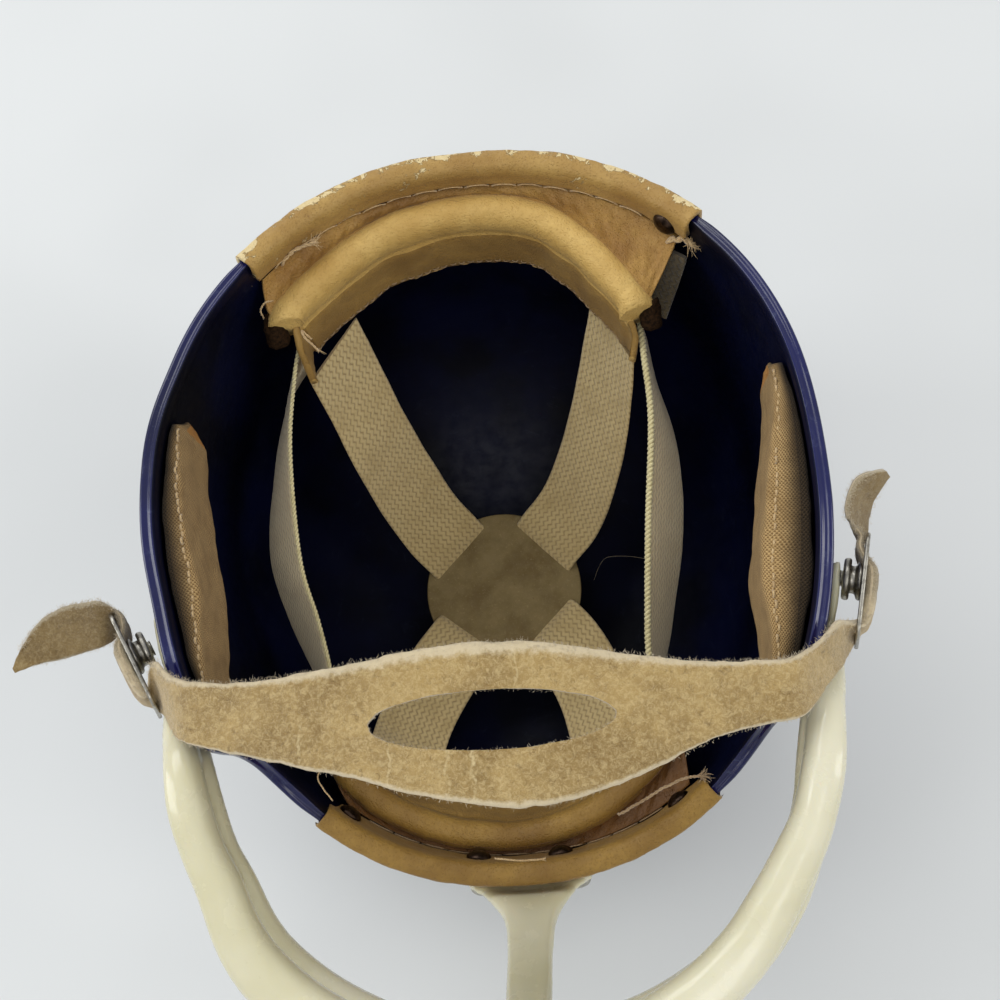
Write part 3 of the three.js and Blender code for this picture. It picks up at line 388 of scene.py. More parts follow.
class Value:
    """A number that a material works out at each point, for use in plain arithmetic."""

    def __init__(self, finish, socket):
        self.finish = finish
        self.socket = socket

    __add__ = operation("ADD")
    __sub__ = operation("SUBTRACT")
    __mul__ = operation("MULTIPLY")
    __truediv__ = operation("DIVIDE")
    __pow__ = operation("POWER")
    __abs__ = operation("ABSOLUTE")
    sine = operation("SINE")
    cosine = operation("COSINE")

    def __rsub__(self, other):
        return self.finish.math("SUBTRACT", other, self)

    def between(self, low, high, at_low=0.0, at_high=1.0):
        """Runs smoothly from at_low to at_high while this value runs from low to high."""
        inputs = {"Value": self, "From Min": low, "From Max": high, "To Min": at_low, "To Max": at_high}
        node = self.finish.node("MapRange", inputs, interpolation_type="SMOOTHSTEP")
        return Value(self.finish, node.outputs["Result"])


def screen_colour(*values):
    shares = [value / 255 for value in values]
    return (*(v / 12.92 if v <= 0.04045 else ((v + 0.055) / 1.055) ** 2.4 for v in shares), 1.0)


class Finish:
    """A material and short ways to wire its nodes. Sizes of patterns are in millimetres, and colours are
    given as they look on a screen, from 0 to 255."""

    def __init__(self, name, colour, settings):
        self.material = bpy.data.materials.new(name)
        self.material.use_nodes = True
        self.tree = self.material.node_tree
        self.shader = self.tree.nodes["Principled BSDF"]
        self.place = self.node("TexCoord").outputs["Object"]
        self.cloth = self.node("UVMap", uv_map="cloth").outputs["UV"]
        self.colour = colour
        self.relief = None
        for socket, value in settings.items():
            self.shader.inputs[socket].default_value = value

    def node(self, kind, inputs=None, **options):
        node = self.tree.nodes.new("ShaderNode" + kind)
        for name, value in options.items():
            setattr(node, name, value)
        for name, value in (inputs or {}).items():
            self.put(node.inputs[name], value)
        return node

    def put(self, socket, value):
        if isinstance(value, Value):
            value = value.socket
        if isinstance(value, bpy.types.NodeSocket):
            self.tree.links.new(value, socket)
        else:
            socket.default_value = value

    def noise(self, size, detail=3.0, rough=0.55, stretch=None, warp=0.0):
        where = self.place
        if stretch:
            where = self.node("VectorMath", {0: where, 1: stretch}, operation="MULTIPLY").outputs[0]
        inputs = {"Vector": where, "Scale": 1000 / size, "Detail": detail}
        inputs |= {"Roughness": rough, "Distortion": warp}
        return Value(self, self.node("TexNoise", inputs).outputs["Fac"])

    def cells(self, size):
        inputs = {"Vector": self.place, "Scale": 1000 / size}
        return Value(self, self.node("TexVoronoi", inputs).outputs["Distance"])

    def math(self, name, a, b=0.0):
        return Value(self, self.node("Math", {0: a, 1: b}, operation=name).outputs[0])

    def mix(self, share, a, b):
        a, b = (screen_colour(*colour) if isinstance(colour, tuple) else colour for colour in (a, b))
        return self.node("Mix", {0: share, 6: a, 7: b}, data_type="RGBA").outputs[2]

    def cover(self, share, colour):
        """Lays a share of that colour over the colour so far."""
        self.colour = self.mix(share, self.colour, colour)

    def split(self, vector):
        node = self.node("SeparateXYZ", {"Vector": vector})
        return [Value(self, node.outputs[axis]) for axis in "XYZ"]

    def bump(self, height, depth):
        """Adds relief: height runs from 0 to 1, and depth is what that stands for, in millimetres."""
        inputs = {"Height": height, "Distance": depth / 1000, "Strength": 1.0}
        if self.relief is not None:
            inputs["Normal"] = self.relief
        self.relief = self.node("Bump", inputs).outputs["Normal"]

    def done(self, roughness=None):
        self.put(self.shader.inputs["Base Color"], self.colour)
        if roughness is not None:
            self.put(self.shader.inputs["Roughness"], roughness)
        if self.relief is not None:
            self.put(self.shader.inputs["Normal"], self.relief)
        return self.material


def matt(roughness, sheen, specular, sheen_roughness=0.5):
    return {"Roughness": roughness, "Sheen Weight": sheen, "Sheen Roughness": sheen_roughness,
            "Specular IOR Level": specular}


def shell_finish(name, colour, deep, gloss, dust_and_highlight, coat, specular):
    f = Finish(name, colour, {
        "IOR": 1.5, "Coat Weight": coat, "Coat Roughness": 0.08, "Specular IOR Level": specular,
    })
    f.cover(f.noise(38, 3).between(0.35, 0.7), deep)
    # Scuffs, pale specks and worn patches are real dust and wear. On the outside they are laid on more
    # thickly, where they are also a painted highlight for the rim's whitish streak.
    scuff = f.noise(1.3, 6, 0.7, stretch=(1, 1, 0.25)).between(0.6, 0.8)
    f.cover(scuff * dust_and_highlight, (84, 98, 130))
    f.cover(f.noise(0.9, 2).between(0.74, 0.8, 0, dust_and_highlight * 0.8), (140, 146, 150))
    worn = f.noise(7, 6, 0.75, stretch=(1, 1, 2.2), warp=0.8)
    f.cover(worn.between(0.56, 0.72, 0, dust_and_highlight * 0.75), (112, 124, 152))
    f.bump(f.noise(14, 2), 0.12)
    f.bump(scuff, 0.02)
    return f.done(f.noise(6, 4, 0.65).between(0.3, 0.75, gloss, gloss + 0.16))


# Where the nape's leather flakes: the middle of the fold on the cloth map, in millimetres, and the left end.
FOLD_TOP = 14.6
FLAKED_END = (-0.066, -0.057)
FLAKES_FROM = 0.64


def leather_finish(name, light, dark, crease=0.5, flaking=False, speck=0.6):
    f = Finish(name, light, {"IOR": 1.45, "Sheen Weight": 0.08, "Sheen Roughness": 0.5})
    f.cover(f.noise(26, 3, 0.6).between(0.3, 0.72), dark)
    f.cover(f.noise(2.2, 4, 0.65).between(0.35, 0.7, 0, 0.35), dark)
    pits = f.cells(0.85).between(0.12, 0.5)
    f.cover((1 - pits) * 0.28, dark)
    f.cover(f.noise(1.4, 2, 0.5).between(0.72, 0.78, 0, speck), (112, 74, 38))
    f.bump(f.noise(3.4, 5, 0.62, warp=1.4), crease)
    f.bump(pits, 0.12)
    f.bump(f.noise(0.5, 3, 0.6), 0.12)
    rough = f.noise(5, 4).between(0.3, 0.7, 0.4, 0.58)
    if flaking:
        worn = f.noise(7, 5, 0.72, stretch=(1, 1, 0.6), warp=0.6)
        worn = worn + abs(f.split(f.cloth)[0] - FOLD_TOP).between(1.0, 4.2, 0.15, 0)
        worn = worn + f.split(f.place)[0].between(*FLAKED_END, 0.17, 0)
        bare = worn.between(FLAKES_FROM, FLAKES_FROM + 0.02)
        f.cover(bare, f.mix(f.noise(1.2, 3), (240, 222, 176), (208, 180, 120)))
        edge_of_flake = abs(worn - FLAKES_FROM).between(0, 0.012)
        f.cover(edge_of_flake.between(0, 1, 0.35, 0), (120, 84, 42))
        f.bump(1 - bare, 0.35)
        rough = rough + bare * 0.25
    return f.done(rough)


def webbing_finish(name, light, dark, grime):
    """Herringbone webbing. The cloth map runs across and along it, in millimetres."""
    rib_width, rib_length = 2.4, 2.9
    f = Finish(name, dark, matt(0.9, 0.35, 0.2, 0.6))
    across, length, _ = f.split(f.cloth)
    beat = length * (2 * math.pi / rib_length)
    column = (across / rib_width + beat.sine() * 0.2) * math.pi
    groove = abs(column.sine()) ** 0.6
    chain = column.cosine() * beat.cosine()
    yarn = ((length + across * 0.8) * 9).sine()
    weave = groove * 0.6 + chain * 0.1 + 0.16 + yarn * 0.08
    # The dark colour that stays in the grooves between the ribs is painted shade.
    f.cover(weave.between(0.12, 0.84), light)
    f.cover(f.noise(9, 4, 0.6).between(0.42, 0.75, 0, 0.55), grime)
    f.cover(f.noise(0.5, 3).between(0.3, 0.75, 0, 0.3), light)
    f.bump(weave, 0.45)
    f.bump(f.noise(0.4, 3, 0.7), 0.14)
    return f.done()


def canvas_finish(name, light, dark):
    """Plain weave of thick yarns, painted darker next to the rim as painted shade. The cloth map is in
    millimetres.
    """
    yarn_pitch, shaded_until = 1.25, 8
    f = Finish(name, dark, matt(0.92, 0.08, 0.15, 0.6))
    across, length, _ = f.split(f.cloth)
    uneven = f.noise(4, 3) * 1.4
    warp = (across + uneven) * (2 * math.pi / yarn_pitch)
    weft = (length + uneven) * (2 * math.pi / yarn_pitch)
    weave = warp.sine() * weft.sine() * 0.4 + (weft * 2).sine() * 0.1 + 0.5
    # The dark colour left in the gaps between the yarns is painted shade.
    f.cover(weave.between(0.15, 0.85), light)
    f.cover(f.noise(7, 4, 0.6).between(0.4, 0.75, 0, 0.5), dark)
    # Painted shade: darker towards the rim, where the cloth map's across starts.
    f.cover((across + uneven).between(0.5, shaded_until, 0.9, 0), (60, 48, 34))
    f.bump(weave, 0.4)
    f.bump(f.noise(0.45, 3, 0.7), 0.1)
    return f.done()


def suede(name, light, dark, pale):
    f = Finish(name, light, matt(0.95, 0.45, 0.15))
    f.cover(f.noise(19, 4, 0.62, warp=0.5).between(0.32, 0.7), dark)
    f.cover(f.noise(1.5, 6, 0.86, warp=0.8).between(0.42, 0.64, 0, 0.6), pale)
    f.cover(f.noise(2.2, 5, 0.8, warp=0.8).between(0.53, 0.7, 0, 0.6), (108, 82, 42))
    f.bump(f.noise(0.65, 5, 0.8, warp=0.6), 0.45)
    f.bump(f.noise(3.5, 4, 0.6), 0.3)
    return f


def suede_cut_finish(name):
    f = suede(name, (206, 184, 146), (176, 150, 106), (232, 216, 186))
    f.cover(0.55, (222, 206, 176))
    return f.done()


def strap_finish(name, creases):
    """The chin strap's rough side: the cloth map gives the share across and the length in millimetres."""
    f = suede(name, (186, 156, 98), (146, 118, 68), (224, 200, 148))
    across, length, _ = f.split(f.cloth)
    wandering = length + (f.noise(6, 3) - 0.5) * 5
    marks = 0.0
    for where, strength, low, high in creases:
        line = abs(wandering - where).between(0.15, 0.55, strength, 0)
        inside = across.between(low - 0.08, low) * across.between(high, high + 0.08, 1, 0)
        marks = f.math("MAXIMUM", marks, line * inside)
    f.cover(marks * f.noise(1.2, 3).between(0.35, 0.6), (226, 206, 158))
    rim = f.math("MINIMUM", across, (1 - across) * 2.2) + (f.noise(2.2, 5, 0.75) - 0.5) * 0.16
    f.cover(rim.between(0.03, 0.1, 0.8, 0), (232, 216, 182))
    # Both tails are painted darker: painted shade where they lie against the slides. Their places are in
    # metres.
    x, y, _ = f.split(f.place)
    shaded_tails = f.math("MAXIMUM", y.between(-0.029, -0.022, 0, 0.5), x.between(-0.124, -0.116, 0.4, 0))
    f.cover(shaded_tails, (74, 58, 36))
    return f.done()


def mask_finish(name):
    f = Finish(name, (226, 221, 196), {
        "IOR": 1.49, "Coat Weight": 0.3, "Coat Roughness": 0.05,
        "Subsurface Weight": 0.25, "Subsurface Scale": 0.006, "Subsurface Radius": (1.0, 0.85, 0.45),
    })
    f.cover(f.noise(45, 3).between(0.3, 0.7), (212, 206, 172))
    grime = f.noise(2.5, 6, 0.72, stretch=(1, 1, 0.5))
    f.cover(grime.between(0.62, 0.78, 0, 0.35), (168, 154, 112))
    scratch = f.noise(0.8, 4, 0.7, stretch=(6, 0.7, 1)).between(0.66, 0.74)
    f.cover(scratch * 0.3, (244, 240, 224))
    f.bump(f.noise(22, 2), 0.15)
    f.bump(scratch, 0.02)
    return f.done(f.noise(8, 4).between(0.3, 0.7, 0.13, 0.3))


def fibre_finish(name):
    f = Finish(name, (138, 121, 82), {"Specular IOR Level": 0.3})
    f.cover(f.noise(14, 4, 0.6).between(0.3, 0.72), (112, 94, 58))
    f.cover(f.noise(0.8, 4, 0.7).between(0.55, 0.72, 0, 0.4), (176, 160, 118))
    f.cover(f.noise(1.8, 2).between(0.72, 0.78, 0, 0.6), (88, 66, 36))
    f.bump(f.noise(0.7, 4, 0.7), 0.12)
    return f.done(f.noise(3, 4).between(0.3, 0.7, 0.6, 0.82))


def metal_finish(name, bright, tarnish, share):
    f = Finish(name, bright, {"Metallic": 1.0})
    f.cover(f.noise(2.4, 5, 0.7).between(0.5 - share, 0.95 - share), tarnish)
    f.bump(f.noise(0.6, 4, 0.7, stretch=(8, 1, 1)), 0.02)
    return f.done(f.noise(1.1, 5, 0.7).between(0.3, 0.75, 0.25, 0.55))


def thread_finish(name, light, dark):
    f = Finish(name, light, {"Roughness": 0.9, "Sheen Weight": 0.5, "Specular IOR Level": 0.2})
    twist = f.noise(0.35, 3, 0.6)
    f.cover(twist.between(0.3, 0.7), dark)
    f.cover(f.noise(4, 3).between(0.45, 0.7, 0, 0.5), dark)
    f.bump(twist, 0.15)
    return f.done()


def felt_finish(name, light, dark):
    f = Finish(name, light, {"Roughness": 0.95, "Specular IOR Level": 0.1})
    f.cover(f.noise(1.2, 5, 0.7).between(0.35, 0.65), dark)
    f.bump(f.noise(0.7, 4, 0.7), 0.5)
    return f.done()


# The outside's heavier dust and scuffs also paint the rim's whitish highlight streak.
SHELL_OUT = shell_finish("shell_outside", (10, 17, 80), (6, 11, 58), 0.12, 0.3, 0.2, 0.5)
SHELL_IN = shell_finish("shell_inside", (4, 9, 40), (2, 4, 18), 0.42, 0.05, 0.0, 0.16)
LEATHER_NAPE = leather_finish("leather_nape", (224, 188, 112), (194, 154, 80))
LEATHER_EDGE = leather_finish("leather_nape_edge", (190, 154, 86), (158, 120, 58), 0.35, True)
# The brow's leather: the nape's leather, a little more orange and made darker; the darkening is painted shade
# for the brow, which lies low under the strap.
LEATHER_BROW_SHADED = leather_finish("leather_brow_shaded", (164, 128, 58), (128, 94, 36), 0.3, speck=0.4)
LEATHER_DARK = leather_finish("leather_gusset", (190, 148, 76), (148, 106, 48), 0.7)
# Painted shade: a darker copy of the leather for the aprons, which lie in shade inside the helmet.
LEATHER_APRON_SHADED = leather_finish("leather_apron_shaded", (176, 140, 74), (140, 106, 50))
LEATHER_RAW = leather_finish("leather_raw_edge", (214, 184, 128), (168, 132, 80), 0.4)
# The brow gusset's leather, painted darker as shade in the narrow gap between the roll and the binding.
SHADED_BROW_GUSSET = leather_finish("shaded_brow_gusset", (128, 86, 34), (92, 58, 20), 0.5)
WEBBING = webbing_finish("webbing", (212, 190, 138), (158, 130, 82), (176, 150, 98))
# Painted light: a lighter copy of the webbing for the side straps, which stand upright and catch less light.
WEBBING_SIDE_PAINTED_LIGHT = webbing_finish("webbing_side_painted_light", (252, 234, 190), (206, 180, 132), (216, 192, 146))
WEBBING_DARK = webbing_finish("webbing_olive", (94, 80, 52), (52, 42, 25), (46, 37, 22))
# Painted shade: a dark copy of the canvas for the pads' faces next to the rim.
CANVAS_SHADED = canvas_finish("canvas_shaded", (74, 60, 42), (50, 40, 28))
CANVAS = canvas_finish("canvas", (208, 174, 120), (132, 102, 62))
LEATHER_TAB = leather_finish("leather_tab", (206, 150, 74), (172, 116, 52), 0.4)
MASK = mask_finish("mask_plastic")
FIBRE = fibre_finish("fibre")
NICKEL = metal_finish("nickel", (176, 172, 162), (84, 78, 68), 0.1)
BRONZE = metal_finish("bronze", (84, 68, 58), (34, 26, 22), 0.25)
THREAD_DULL = thread_finish("thread_dull", (186, 160, 124), (140, 112, 78))
THREAD = thread_finish("thread", (222, 194, 146), (172, 140, 96))
CORD = thread_finish("cord", (240, 230, 184), (204, 190, 138))
FELT = felt_finish("felt", (54, 36, 20), (26, 17, 9))
FUZZ = thread_finish("suede_fuzz", (232, 220, 196), (198, 178, 140))
SUEDE_CUT = suede_cut_finish("suede_cut")

# Creases across the chin strap: place along it in millimetres, strength, and the share of its width.
SUEDE = strap_finish("suede", (
    (135, 0.5, 0.55, 1.0), (141, 0.35, 0.0, 0.3), (160, 0.6, 0.62, 1.0), (176, 0.45, 0.6, 1.0),
    (183, 0.7, 0.6, 1.0), (196, 0.55, 0.0, 0.22), (300, 0.6, 0.0, 0.75), (306, 0.4, 0.0, 0.3),
    (296, 0.35, 0.6, 1.0),
))


# The shell's wall.

HALF_WIDTH = 107
HALF_LENGTH = 122
LENGTH_SHIFT = 1
WIDEST_HEIGHT = 104
PLAN_POWER = 2.2
DOME_POWER = 2.35
DOME_RUN = 150
FLANK_TAPER = 4.5
TAPER_REACH = 84
WALL = 3.5
WIDER = {"angle": -94, "by": 2.2, "within": 2, "until": 18}
LEATHER = 1.5
WEBBING_THICK = 1.4
SEAT = 0.35
SEAT_INSIDE = 1.05
BEAD_OUT = 0.5
BEAD_REACH = 6
BROW_END = 36.5
NAPE_START = 134


def wall_point(angle, run):
    angle, run = np.broadcast_arrays(np.asarray(angle, float), np.asarray(run, float))
    lift = np.radians(90 * np.minimum(run, DOME_RUN) / DOME_RUN)
    above = np.maximum(run - DOME_RUN, 0)
    spread = np.sin(lift) ** (2 / DOME_POWER)
    dome = WIDEST_HEIGHT * (1 - np.maximum(np.cos(lift), 0) ** (2 / DOME_POWER))
    half_width = (HALF_WIDTH - FLANK_TAPER * (above / TAPER_REACH) ** 2) * spread
    wider = 1 - smoothstep(np.abs(angle - WIDER["angle"]), WIDER["within"], WIDER["until"])
    x = half_width * signed_power(np.sin(np.radians(angle)), 2 / PLAN_POWER) - WIDER["by"] * wider * spread
    y = LENGTH_SHIFT - HALF_LENGTH * spread * signed_power(np.cos(np.radians(angle)), 2 / PLAN_POWER)
    return np.stack([x, y, np.where(run < DOME_RUN, dome, WIDEST_HEIGHT + above)], -1)


def wall_normal(angle, run):
    angle, run = np.broadcast_arrays(np.asarray(angle, float), np.asarray(run, float))
    aside = wall_point(angle + 0.6, run) - wall_point(angle - 0.6, run)
    upward = wall_point(angle, run + 0.8) - wall_point(angle, np.maximum(run - 0.8, 0.2))
    return unit(np.cross(aside, upward))


def run_at_height(height):
    return DOME_RUN + height - WIDEST_HEIGHT


def height_to_run(height):
    height = np.asarray(height, float)
    low = np.arccos(np.clip(1 - height / WIDEST_HEIGHT, 0, 1) ** (DOME_POWER / 2)) * DOME_RUN / (math.pi / 2)
    return np.where(height >= WIDEST_HEIGHT, run_at_height(height), low)


EDGE = table(
    "turn angle height",
    (0, 0, 106.5), (20, 20, 106.5), (34, 35, 109), (40, 42.5, 114), (44.5, 48, 119.5), (48.5, 52, 128),
    (52, 54, 142), (55.5, 54.3, 158), (59, 55, 171), (62.5, 58, 177), (67, 64.5, 178.5), (76, 75, 178.5),
    (84, 84, 180), (90, 90, 180), (96, 96, 180), (102, 102, 180), (107, 107, 179), (117, 117, 175.5),
    (134, 134, 169), (150, 150, 165), (180, 180, 163),
)


def edge(turn):
    turn = np.asarray(turn, float)
    signed = np.where(turn > 180, turn - 360, turn)
    row = read(EDGE, "turn", np.abs(signed))
    return np.sign(signed) * row["angle"], run_at_height(row["height"])


def edge_point(turn):
    return wall_point(*edge(turn))


def near_edge(turn, back, out):
    """A point near the wall: back is down the wall from the edge, out is outwards from the shell."""
    turn, back, out = np.broadcast_arrays(*(np.asarray(v, float) for v in (turn, back, out)))
    angle, run = edge(turn)
    level = wall_normal(angle, run) * [1, 1, 0]
    level = unit(level)
    forward = edge_point(turn + 0.3) - edge_point(turn - 0.3)
    beyond = unit(np.cross(level, forward))
    close = wall_point(angle, run) + level * out[..., None] - beyond * back[..., None]
    down = wall_point(angle, run - back) + wall_normal(angle, run - back) * out[..., None]
    return np.where((back <= BEAD_REACH)[..., None], close, down)


def bead_at(turn):
    size = np.abs(np.where(turn > 180, turn - 360, turn))
    return smoothstep(size, BROW_END, BROW_END + 4) * (1 - smoothstep(size, NAPE_START - 4, NAPE_START))


def stand_on(points, point, direction):
    """Points of a piece whose own +Z becomes that direction, set on that point."""
    turn = Vector((0, 0, 1)).rotation_difference(Vector(direction)).to_matrix()
    return np.asarray(points) @ np.array(turn).T + point


def lathe_points(profile, sides):
    turn = circle(sides)
    profile = np.asarray(profile, float)
    points = np.zeros((len(profile), sides, 3))
    points[..., :2] = profile[:, :1, None] * np.stack([np.cos(turn), np.sin(turn)], -1)[None]
    points[..., 2] = profile[:, 1:]
    return points


# Rows are the rim's section over the edge: out, what the bead adds, and how far back down the wall.
RIM = np.array([
    (0, 0, 6), (0, 0.8, 4.4), (0, 1.1, 2.6), (0, 0.9, 1.0), (-0.35, 0.7, 0.15), (-1.0, 0.2, 0.0),
    (-1.7, -0.1, 0.5), (-2.3, -0.4, 0.45), (-2.9, -0.9, 0.05), (-3.4, -1.3, 0.8), (-3.5, -1.4, 2.4),
    (-3.5, -1.1, 4.4), (-3.5, 0, 6),
])
RIM_ROWS = 34
SHELL_COLUMNS = 300
OUTER_ROWS = 70
INNER_ROWS = 60
EAR = {"angle": 87.5, "height": 143, "hole": 8.0}
EAR_RING = [
    (8, -3.2), (8, 0), (8, 3.2), (8.4, 3.6), (9.4, 3.7), (10.3, 4.5), (11.5, 4.8), (12.7, 4.4), (14.2, 2.8),
    (15.2, 1.9), (16.2, 2.6), (17.3, 2.6), (18.8, 1.2), (20, 0.1), (20.6, -2.2), (17, -3), (12, -3.1),
]


def shell_loop(turns, part, depth):
    angle, run = edge(turns)
    here = lerp(turns, angle, part**3)
    distance = part * (run - BEAD_REACH)
    return wall_point(here, distance) - wall_normal(here, distance) * depth


def make_shell():
    turns = np.arange(SHELL_COLUMNS) * 360 / SHELL_COLUMNS - 180
    loops = [shell_loop(turns, part, 0) for part in np.linspace(0, 1, OUTER_ROWS + 1)[1:-1]]
    for out, bead, back in spline(RIM, RIM_ROWS):
        loops.append(near_edge(turns, back, out + bead * bead_at(turns) * BEAD_OUT))
    inside_from = (len(loops) - RIM_ROWS // 3) * SHELL_COLUMNS
    loops += [shell_loop(turns, part, WALL) for part in np.linspace(1, 0, INNER_ROWS + 1)[1:-1]]
    last = (len(loops) - 1) * SHELL_COLUMNS
    outer = last + SHELL_COLUMNS
    inner = outer + 1
    points = np.vstack([*loops, [[0, LENGTH_SHIFT, 0], [0, LENGTH_SHIFT, WALL]]])
    faces = grid_faces(len(loops), SHELL_COLUMNS, wrap_columns=True)[:, ::-1].tolist()
    for i in range(SHELL_COLUMNS):
        following = (i + 1) % SHELL_COLUMNS
        faces += [[outer, following, i], [inner, last + i, last + following]]
    piece = add_object("shell_wall", points, faces, material=SHELL_OUT)
    inside = np.zeros(len(faces), bool)
    inside[inside_from:last] = True
    inside[last + 1::2] = True
    recolour(piece, inside, SHELL_IN)
    bosses = []
    for side, name in ((-1, "ear_boss_left"), (1, "ear_boss_right")):
        place = side * EAR["angle"], run_at_height(EAR["height"])
        point, normal = wall_point(*place), wall_normal(*place)
        drill = lathe_points([(EAR["hole"], -14), (EAR["hole"], 14)], 48)
        subtract(piece, stand_on(drill, point, normal), SHELL_IN)
        ring = lathe_points(spline(EAR_RING, 70, closed=True), 72)
        ring = np.concatenate([ring, ring[:1]])
        bosses.append(grid_object(name, stand_on(ring, point, normal), SHELL_OUT, caps=False))
    points = coordinates(piece)
    points[:, 2] = np.maximum(points[:, 2], 0)
    move_to(piece, points)
    shade(piece.data)
    keep(piece, "shell", slot="shell_plastic")
    for boss in bosses:
        keep(boss, slot="shell_plastic")


# Leather over the edge.

def binding(name, node, from_turn, to_turn, outside, inside, material):
    inner = -WALL - SEAT_INSIDE
    skin = LEATHER
    section = spline([
        (outside, SEAT), (outside, SEAT + skin), (8, SEAT + skin), (5, SEAT + skin), (2, SEAT + skin),
        (-0.2, SEAT + skin - 0.1), (-1.3, SEAT + 0.7), (-SEAT - skin, -0.7), (-SEAT - skin - 0.1, -1.8),
        (-SEAT - skin + 0.15, -3.1), (-1.0, -4.6), (0.3, -5.7), (2.4, inner - skin - 0.2),
        (5, inner - skin - 0.1), (inside, inner - skin), (inside, inner), (5, inner), (1, inner),
        (-SEAT, -WALL), (-SEAT - 0.1, -2), (-SEAT, 0), (1, SEAT), (5, SEAT),
    ], 92, closed=True)
    turns = np.linspace(from_turn, to_turn, 260)
    back = section[None, :, 0] * np.ones((len(turns), 1))
    back = back + smoothstep(back, 6, outside) * ripple(turns, 5.0, 3)[:, None] * 0.9
    points = near_edge(turns[:, None], back, section[None, :, 1])
    uv = cloth_map(length_along(section, closed=True), length_along(points[:, 40]))
    piece = grid_object(name, points, material, uv, flip=True)
    roughen(piece, (11, 0.35), (4, 0.16), (1.6, 0.07), seed=5)
    keep(piece, node, slot="leather")


# The sweatbands.

NAPE_BAND = table(
    "x y z roll apron",
    (-63.5, 60, 128, 1.4, 4), (-66.2, 68.5, 142, 2.6, 19), (-67, 77.5, 147, 5.4, 25),
    (-53.4, 90.1, 148, 6, 26), (-39.3, 100.2, 148.5, 6, 26), (-22.6, 106.8, 149, 6, 26),
    (0, 109.8, 149, 6, 26), (22.6, 105.8, 148.5, 6, 26), (36.7, 95.3, 148, 6, 26), (47.2, 82.5, 147.5, 6, 26),
    (55.2, 70.1, 146, 5.2, 25), (56.8, 62, 139, 2.6, 17), (54.4, 56, 131, 1.4, 4),
)
BROW_BAND = table(
    "x y z roll apron",
    (-66.5, -68, 84, 1.4, 6), (-66, -76, 86, 3.5, 18), (-61, -84.5, 87, 5, 24), (-48, -95, 87, 5, 24),
    (-31, -103, 87, 5, 24), (-12.7, -107, 87, 5, 24), (5, -107.2, 87, 5, 24), (24.5, -102, 87, 5, 24),
    (42, -91.5, 87, 5, 24), (53, -81.5, 87, 5, 24), (58, -73, 86, 3.5, 18), (59.5, -65, 84, 1.4, 6),
)
APRON = 2.4
BAND_STEPS = 240
# Columns of a band's section: round the roll, down the apron's outer face, under its edge and up again.
ROLL_COLUMNS = 44
DOWN_COLUMNS = 14
UNDER_COLUMNS = 3
UP_COLUMNS = 16
# The apron's columns, which get the darker leather as painted shade.
SHADED_APRON_COLUMNS = (44, 73)
CUT_ROLL = 5.2


def band_frame(rows, fraction):
    row = along(rows, fraction)
    inward = np.cross([0, 0, 1], unit(heading(rows, fraction, 0.01, "xy")))
    point = points_of(row, "x", "y", "z")
    turned = np.sum(inward * point * [1, 1, 0], -1) > 0
    return row, point, np.where(turned[:, None], -inward, inward)


